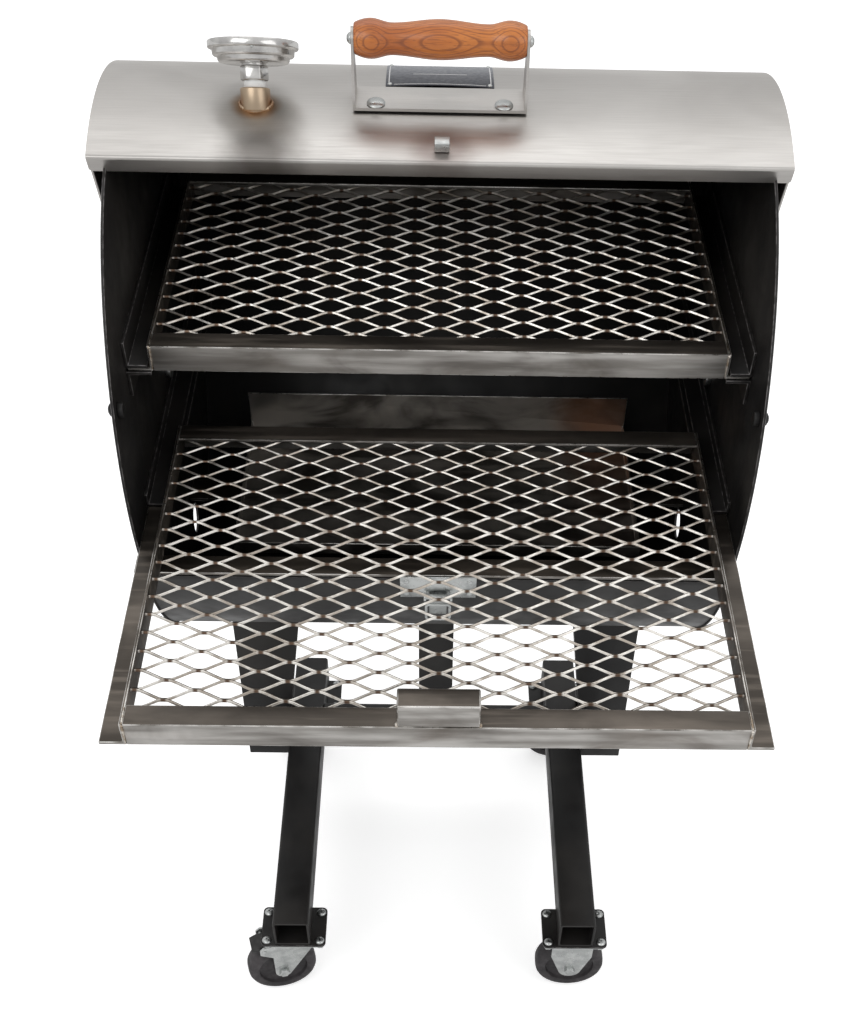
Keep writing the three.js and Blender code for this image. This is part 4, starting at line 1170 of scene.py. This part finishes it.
def build_gauge():
    joint = JOINTS["gauge_pointer_turn"]
    foot = Vector(joint["pos_m"])
    outward = -Vector(joint["axis"])
    place = along(outward, foot)
    back = 30.8  # from the foot to the back of the case
    coupling = [(9.6, -6.5), (13.4, -6.5), (14, -5.5), (14, 11.4), (13.4, 12.2), (10.2, 12.2), (9.6, 11.6)]
    mesh = bmesh.new()
    turn(mesh, coupling, place, 56, ring=True)
    made("gauge_coupling_body", mesh, (TINTED,), "lid", ("gauge_coupling",), soft=0.3)
    stem = [(0, -25), (3, -25), (3, 6), (9.1, 6)]
    for i in range(6):
        stem += [(9.1, 12.4 + i * 0.8), (8.5, 12.8 + i * 0.8)]
    stem += [(9.1, 17.4), (9.1, 18), (0, 18)]
    turned_piece("gauge_stem", stem, place, POLISHED, 40, 0.0, "gauge_stem_thread")
    mesh = bmesh.new()
    turn(mesh, [(0, 17.6), (11.6, 17.6), (13.3, 18.7), (13.3, 28.6), (11.6, 29.7), (0, 29.7)], place, 6)
    made("gauge_hexagon", mesh, (POLISHED,), "lid", slot="gauge_steel", soft=0.4)
    mesh = bmesh.new()
    turn(mesh, [(0, 29.4), (11.4, 29.4), (11.4, 31), (0, 31)], place, 40)
    made("gauge_neck", mesh, (POLISHED,), "lid", slot="gauge_steel", soft=0.3)
    mesh = bmesh.new()
    tape = [(8.6, 12.3), (9.9, 12.4), (10.2, 13.2), (10.0, 14.4)]
    tape += [(10.3, 15.6), (10.0, 16.8), (9.6, 17.5), (8.6, 17.5)]
    turn(mesh, tape, place, 48, ring=True)
    made("thread_tape_wrap", mesh, (TAPE,), "lid", slot="dial_white", smooth=60)
    cup = [(0, 0), (29, 0), (32, 0.6), (33.2, 2), (33.6, 4.6)]
    cup += [(36.6, 5.0), (37.8, 6.2), (38.3, 10.4), (41, 10.7), (42, 11.6), (42, 15.8)]
    cup += [(41.2, 17), (39.4, 17), (38.8, 16.6), (38.8, 14.8), (36.8, 14.8), (36.8, 9.4)]
    cup += [(31, 6.5), (31, 3), (0, 3)]
    case = [(r, h + back) for r, h in cup]
    turned_piece("gauge_case", case, place, POLISHED, 88, 0.35, "gauge_case_shell")
    disc = [(0, back + 9.7), (36.4, back + 9.7), (36.4, back + 10.5), (0, back + 10.5)]
    turned_piece("gauge_dial", disc, place, DIAL, 72, 0.1)
    lens = [(0, back + 15.1), (38.4, back + 15.1), (38.4, back + 16.2), (30, back + 16.55), (0, back + 16.6)]
    turned_piece("gauge_lens", lens, place, GLASS, 72, 0.0)
    face = place @ Matrix.Translation(Vector((0, 0, back + 10.55)) * MM)
    build_dial_marks(face)
    above_dial = face @ Matrix.Translation(Vector((0, 0, 1.5)) * MM)
    pointer_place = above_dial @ Matrix.Rotation(math.radians(POINTER_REST), 4, "Z")
    mesh = bmesh.new()
    prism(mesh, [(-2, -8), (2, -8), (1.6, 0), (0.35, 29), (-0.35, 29), (-1.6, 0)], 0, 0.7, pointer_place)
    turn(mesh, [(0, -1.2), (3.4, -1.2), (3.4, 1.2), (2.4, 1.9), (0, 1.9)], pointer_place, 32)
    made("gauge_pointer_blade", mesh, (BLACK,), "gauge_pointer", ("gauge_pointer",), soft=0.12)
    ring = [2 * math.pi * i / 60 for i in range(61)]
    weld = []
    for a in ring:
        point = place @ (Vector((14.6 * math.cos(a), 14.6 * math.sin(a), 0)) * MM)
        out = point - BARREL_AXIS
        out.x = 0
        surface = BARREL_AXIS + X * point.x + out.normalized() * (LID_RADIUS + 0.3) * MM
        weld.append(surface)
    bead("gauge_weld", weld[:-1] + [weld[0]], 1.9, "lid", closed=True, slot="tinted_steel", material=TINTED)
    mesh = bmesh.new()
    for degrees in (35, 155, 275):
        a = math.radians(degrees)
        at = place @ (Vector((38.4 * math.cos(a), 38.4 * math.sin(a), back + 10)) * MM)
        out = place.to_3x3() @ Vector((math.cos(a), math.sin(a), 0))
        turn(mesh, [(0, -1), (1.3, -1), (1.3, 0.6), (0.8, 1.1), (0, 1.2)], along(out, at), 16)
    made("bezel_screws", mesh, (ZINC,), "lid", slot="zinc", smooth=50)


def build_dial_marks(face):
    """Scale marks and plain numbers on the dial."""
    marks = bmesh.new()
    for i in range(51):
        degrees = 240 - i * 6
        a = math.radians(degrees)
        long = i % 10 == 0
        inner, outer = (28.5 if long else 31), 34
        width = 0.55 if long else 0.3
        spin = face @ Matrix.Rotation(a - math.pi / 2, 4, "Z")
        prism(marks, [(-width, inner), (width, inner), (width, outer), (-width, outer)], 0, 0.12, spin)
    made("dial_marks", marks, (DARK_PRINT,), "lid", slot="dial_white")
    for i in range(6):
        a = math.radians(240 - i * 60)
        curve = bpy.data.curves.new(f"dial_number_{i}", "FONT")
        curve.body = str(100 * i)
        curve.size = 6.2 * MM
        curve.extrude = 0.05 * MM
        curve.align_x = "CENTER"
        curve.align_y = "CENTER"
        curve.materials.append(DARK_PRINT)
        number = bpy.data.objects.new(f"dial_number_{i}", curve)
        bpy.context.scene.collection.objects.link(number)
        number.matrix_world = face @ Matrix.Translation(Vector((math.cos(a), math.sin(a), 0)) * 23.5 * MM)
        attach(number, "lid")


# ---- latch


def wire_loop(name, corners, radius_mm, bend_mm, body, stands_for):
    """A closed round wire with bent corners."""
    count = len(corners)
    path = []
    for i, corner in enumerate(corners):
        before = (corners[i - 1] - corner).normalized() * bend_mm * MM
        after = (corners[(i + 1) % count] - corner).normalized() * bend_mm * MM
        for step in range(7):
            t = step / 6
            path.append((corner + before).lerp(corner, t).lerp(corner.lerp(corner + after, t), t))
    mesh = bmesh.new()
    loops = []
    for i, point in enumerate(path):
        forward = (path[(i + 1) % len(path)] - path[i - 1]).normalized()
        flat = (corners[1] - corners[0]).cross(corners[2] - corners[1]).normalized()
        side = forward.cross(flat)
        ring = [2 * math.pi * j / 12 for j in range(12)]
        loops.append([point + (side * math.cos(a) + flat * math.sin(a)) * radius_mm * MM for a in ring])
    loft(mesh, loops, ring=True)
    made(name, mesh, (ZINC,), body, stands_for, smooth=60)


BAIL_RADIUS = 289.4  # from the barrel's axis to the middle of the bail's wire
RIVET_RADIUS = 281.4  # and to the feet of the rivets


def build_latch():
    refined("latch_base", (ZINC,), 0.4)
    refined("latch_lever", (ZINC,), 0.5)
    refined("latch_keeper", (ZINC,), 0.6)
    place = radial(0, -18)
    corners = [(-12.9, -20), (12.9, -20), (12.9, -49), (-12.9, -49)]
    path = [place @ (Vector((u, v, BAIL_RADIUS)) * MM) for u, v in corners]
    wire_loop("latch_bail_wire", path, 1.5, 4.5, "latch_bail", ("latch_bail",))
    screws = bmesh.new()
    for u in (-34, 34):
        for v in (-11, 11):
            at = place @ Matrix.Translation(Vector((u, v, RIVET_RADIUS)) * MM)
            turn(screws, [(0, 0), (3.2, 0), (3.0, 0.9), (1.8, 1.6), (0, 1.8)], at, 24)
    made("latch_rivets", screws, (ZINC,), "cart", slot="zinc", smooth=50)


# ---- studio

CAMERA_PLACE = Vector((-7.1, -1226.45, 1621.3)) * MM
CAMERA_YAW, CAMERA_PITCH, CAMERA_ROLL = 1.88, 55.15, 1.90  # degrees
LENS_MM = 53.0
LENS_SHIFT = (-0.0292, 0.5030)
AWAY_FROM_HOME = 0.02  # metres the camera moves before the shift is gone; closer keys would merge


def build_camera():
    yaw, pitch, roll = (math.radians(d) for d in (CAMERA_YAW, CAMERA_PITCH, CAMERA_ROLL))
    ahead = Vector((math.sin(yaw) * math.cos(pitch), math.cos(yaw) * math.cos(pitch), -math.sin(pitch)))
    level = Vector((math.cos(yaw), -math.sin(yaw), 0))
    upright = level.cross(ahead)
    right = level * math.cos(roll) + upright * math.sin(roll)
    up = -level * math.sin(roll) + upright * math.cos(roll)
    data = bpy.data.cameras.new("camera")
    data.sensor_fit = "HORIZONTAL"
    data.sensor_width = 36
    data.lens = LENS_MM
    data.clip_start = 0.05
    camera = bpy.data.objects.new("camera", data)
    camera.matrix_world = basis(right, up, -ahead, CAMERA_PLACE)
    bpy.context.scene.collection.objects.link(camera)
    bpy.context.scene.camera = camera
    home = bpy.data.objects.new("camera_home", None)
    home.location = CAMERA_PLACE
    bpy.context.scene.collection.objects.link(home)
    for channel, shift in zip(("shift_x", "shift_y"), LENS_SHIFT):
        shift_only_at_home(data, channel, shift, camera, home)


def shift_only_at_home(data, channel, shift, camera, home):
    """The lens shift belongs to the one place the camera starts from; anywhere else it is zero."""
    curve = data.driver_add(channel)
    for modifier in list(curve.modifiers):
        curve.modifiers.remove(modifier)
    curve.keyframe_points.clear()
    for distance, value in ((0.0, shift), (AWAY_FROM_HOME, 0.0)):
        curve.keyframe_points.insert(distance, value).interpolation = "CONSTANT"
    driver = curve.driver
    driver.type = "SUM"
    moved = driver.variables.new()
    moved.name = "moved"
    moved.type = "LOC_DIFF"
    moved.targets[0].id = camera
    moved.targets[1].id = home


LIGHT_TARGET = Vector((0, 0, 0.6))


def soft_light(name, location, size, power):
    data = bpy.data.lights.new(name, "AREA")
    data.shape = "RECTANGLE"
    data.size, data.size_y = size
    data.energy = power
    light = bpy.data.objects.new(name, data)
    light.location = location
    direction = LIGHT_TARGET - Vector(location)
    light.rotation_mode = "QUATERNION"
    light.rotation_quaternion = direction.to_track_quat("-Z", "Y")
    bpy.context.scene.collection.objects.link(light)


def build_studio():
    mesh = bmesh.new()
    extent = 60.0
    corners = [(-extent, -extent), (extent, -extent), (extent, extent), (-extent, extent)]
    mesh.faces.new([mesh.verts.new((x, y, 0)) for x, y in corners])
    data = bpy.data.meshes.new("studio_floor")
    mesh.to_mesh(data)
    mesh.free()
    floor = bpy.data.objects.new("studio_floor", data)
    s = Shader("studio_floor", 0.0, 0.7)
    s.set("Emission Color", (1.0, 1.0, 1.0))
    seen = s.node("ShaderNodeLightPath").outputs["Is Camera Ray"]
    s.set("Base Color", s.mix(seen, (0.60, 0.60, 0.60), (0.93, 0.93, 0.93)))
    s.set("Emission Strength", s.calc("ADD", s.calc("MULTIPLY", seen, 0.30), 0.20))
    data.materials.append(s.material)
    bpy.context.scene.collection.objects.link(floor)
    world = bpy.data.worlds.new("studio")
    bpy.context.scene.world = world
    world.use_nodes = True
    nodes, links = world.node_tree.nodes, world.node_tree.links
    background = nodes["Background"]
    strength = nodes.new("ShaderNodeMath")
    strength.operation = "MULTIPLY_ADD"
    links.new(nodes.new("ShaderNodeLightPath").outputs["Is Camera Ray"], strength.inputs[0])
    strength.inputs[1].default_value = 0.5
    strength.inputs[2].default_value = 0.84
    links.new(strength.outputs[0], background.inputs["Strength"])
    height = nodes.new("ShaderNodeSeparateXYZ")
    links.new(nodes.new("ShaderNodeTexCoord").outputs["Generated"], height.inputs[0])
    ramp = nodes.new("ShaderNodeValToRGB")
    ramp.color_ramp.elements[0].position = 0.0
    ramp.color_ramp.elements[0].color = (0.62, 0.62, 0.62, 1)
    ramp.color_ramp.elements[1].position = 0.75
    ramp.color_ramp.elements[1].color = (1, 1, 1, 1)
    links.new(height.outputs["Z"], ramp.inputs[0])
    links.new(ramp.outputs[0], background.inputs["Color"])
    soft_light("key", (-1.8, -2.4, 3.2), (2.6, 2.0), 26)
    soft_light("fill", (2.2, -1.8, 2.2), (2.0, 2.0), 12)
    soft_light("top", (0.0, 1.2, 3.4), (3.0, 1.4), 10)
    bpy.context.scene.view_settings.view_transform = "Standard"


# ---- the whole object

build_walls()
build_shell()
build_bolts()
build_inside()
build_grates()
build_cart()
build_caster_plates()
build_wheels()
build_swivels()
build_lid_sheet()
build_lid_ends()
build_handle()
build_name_plate()
build_gauge()
build_latch()
build_studio()
build_camera()
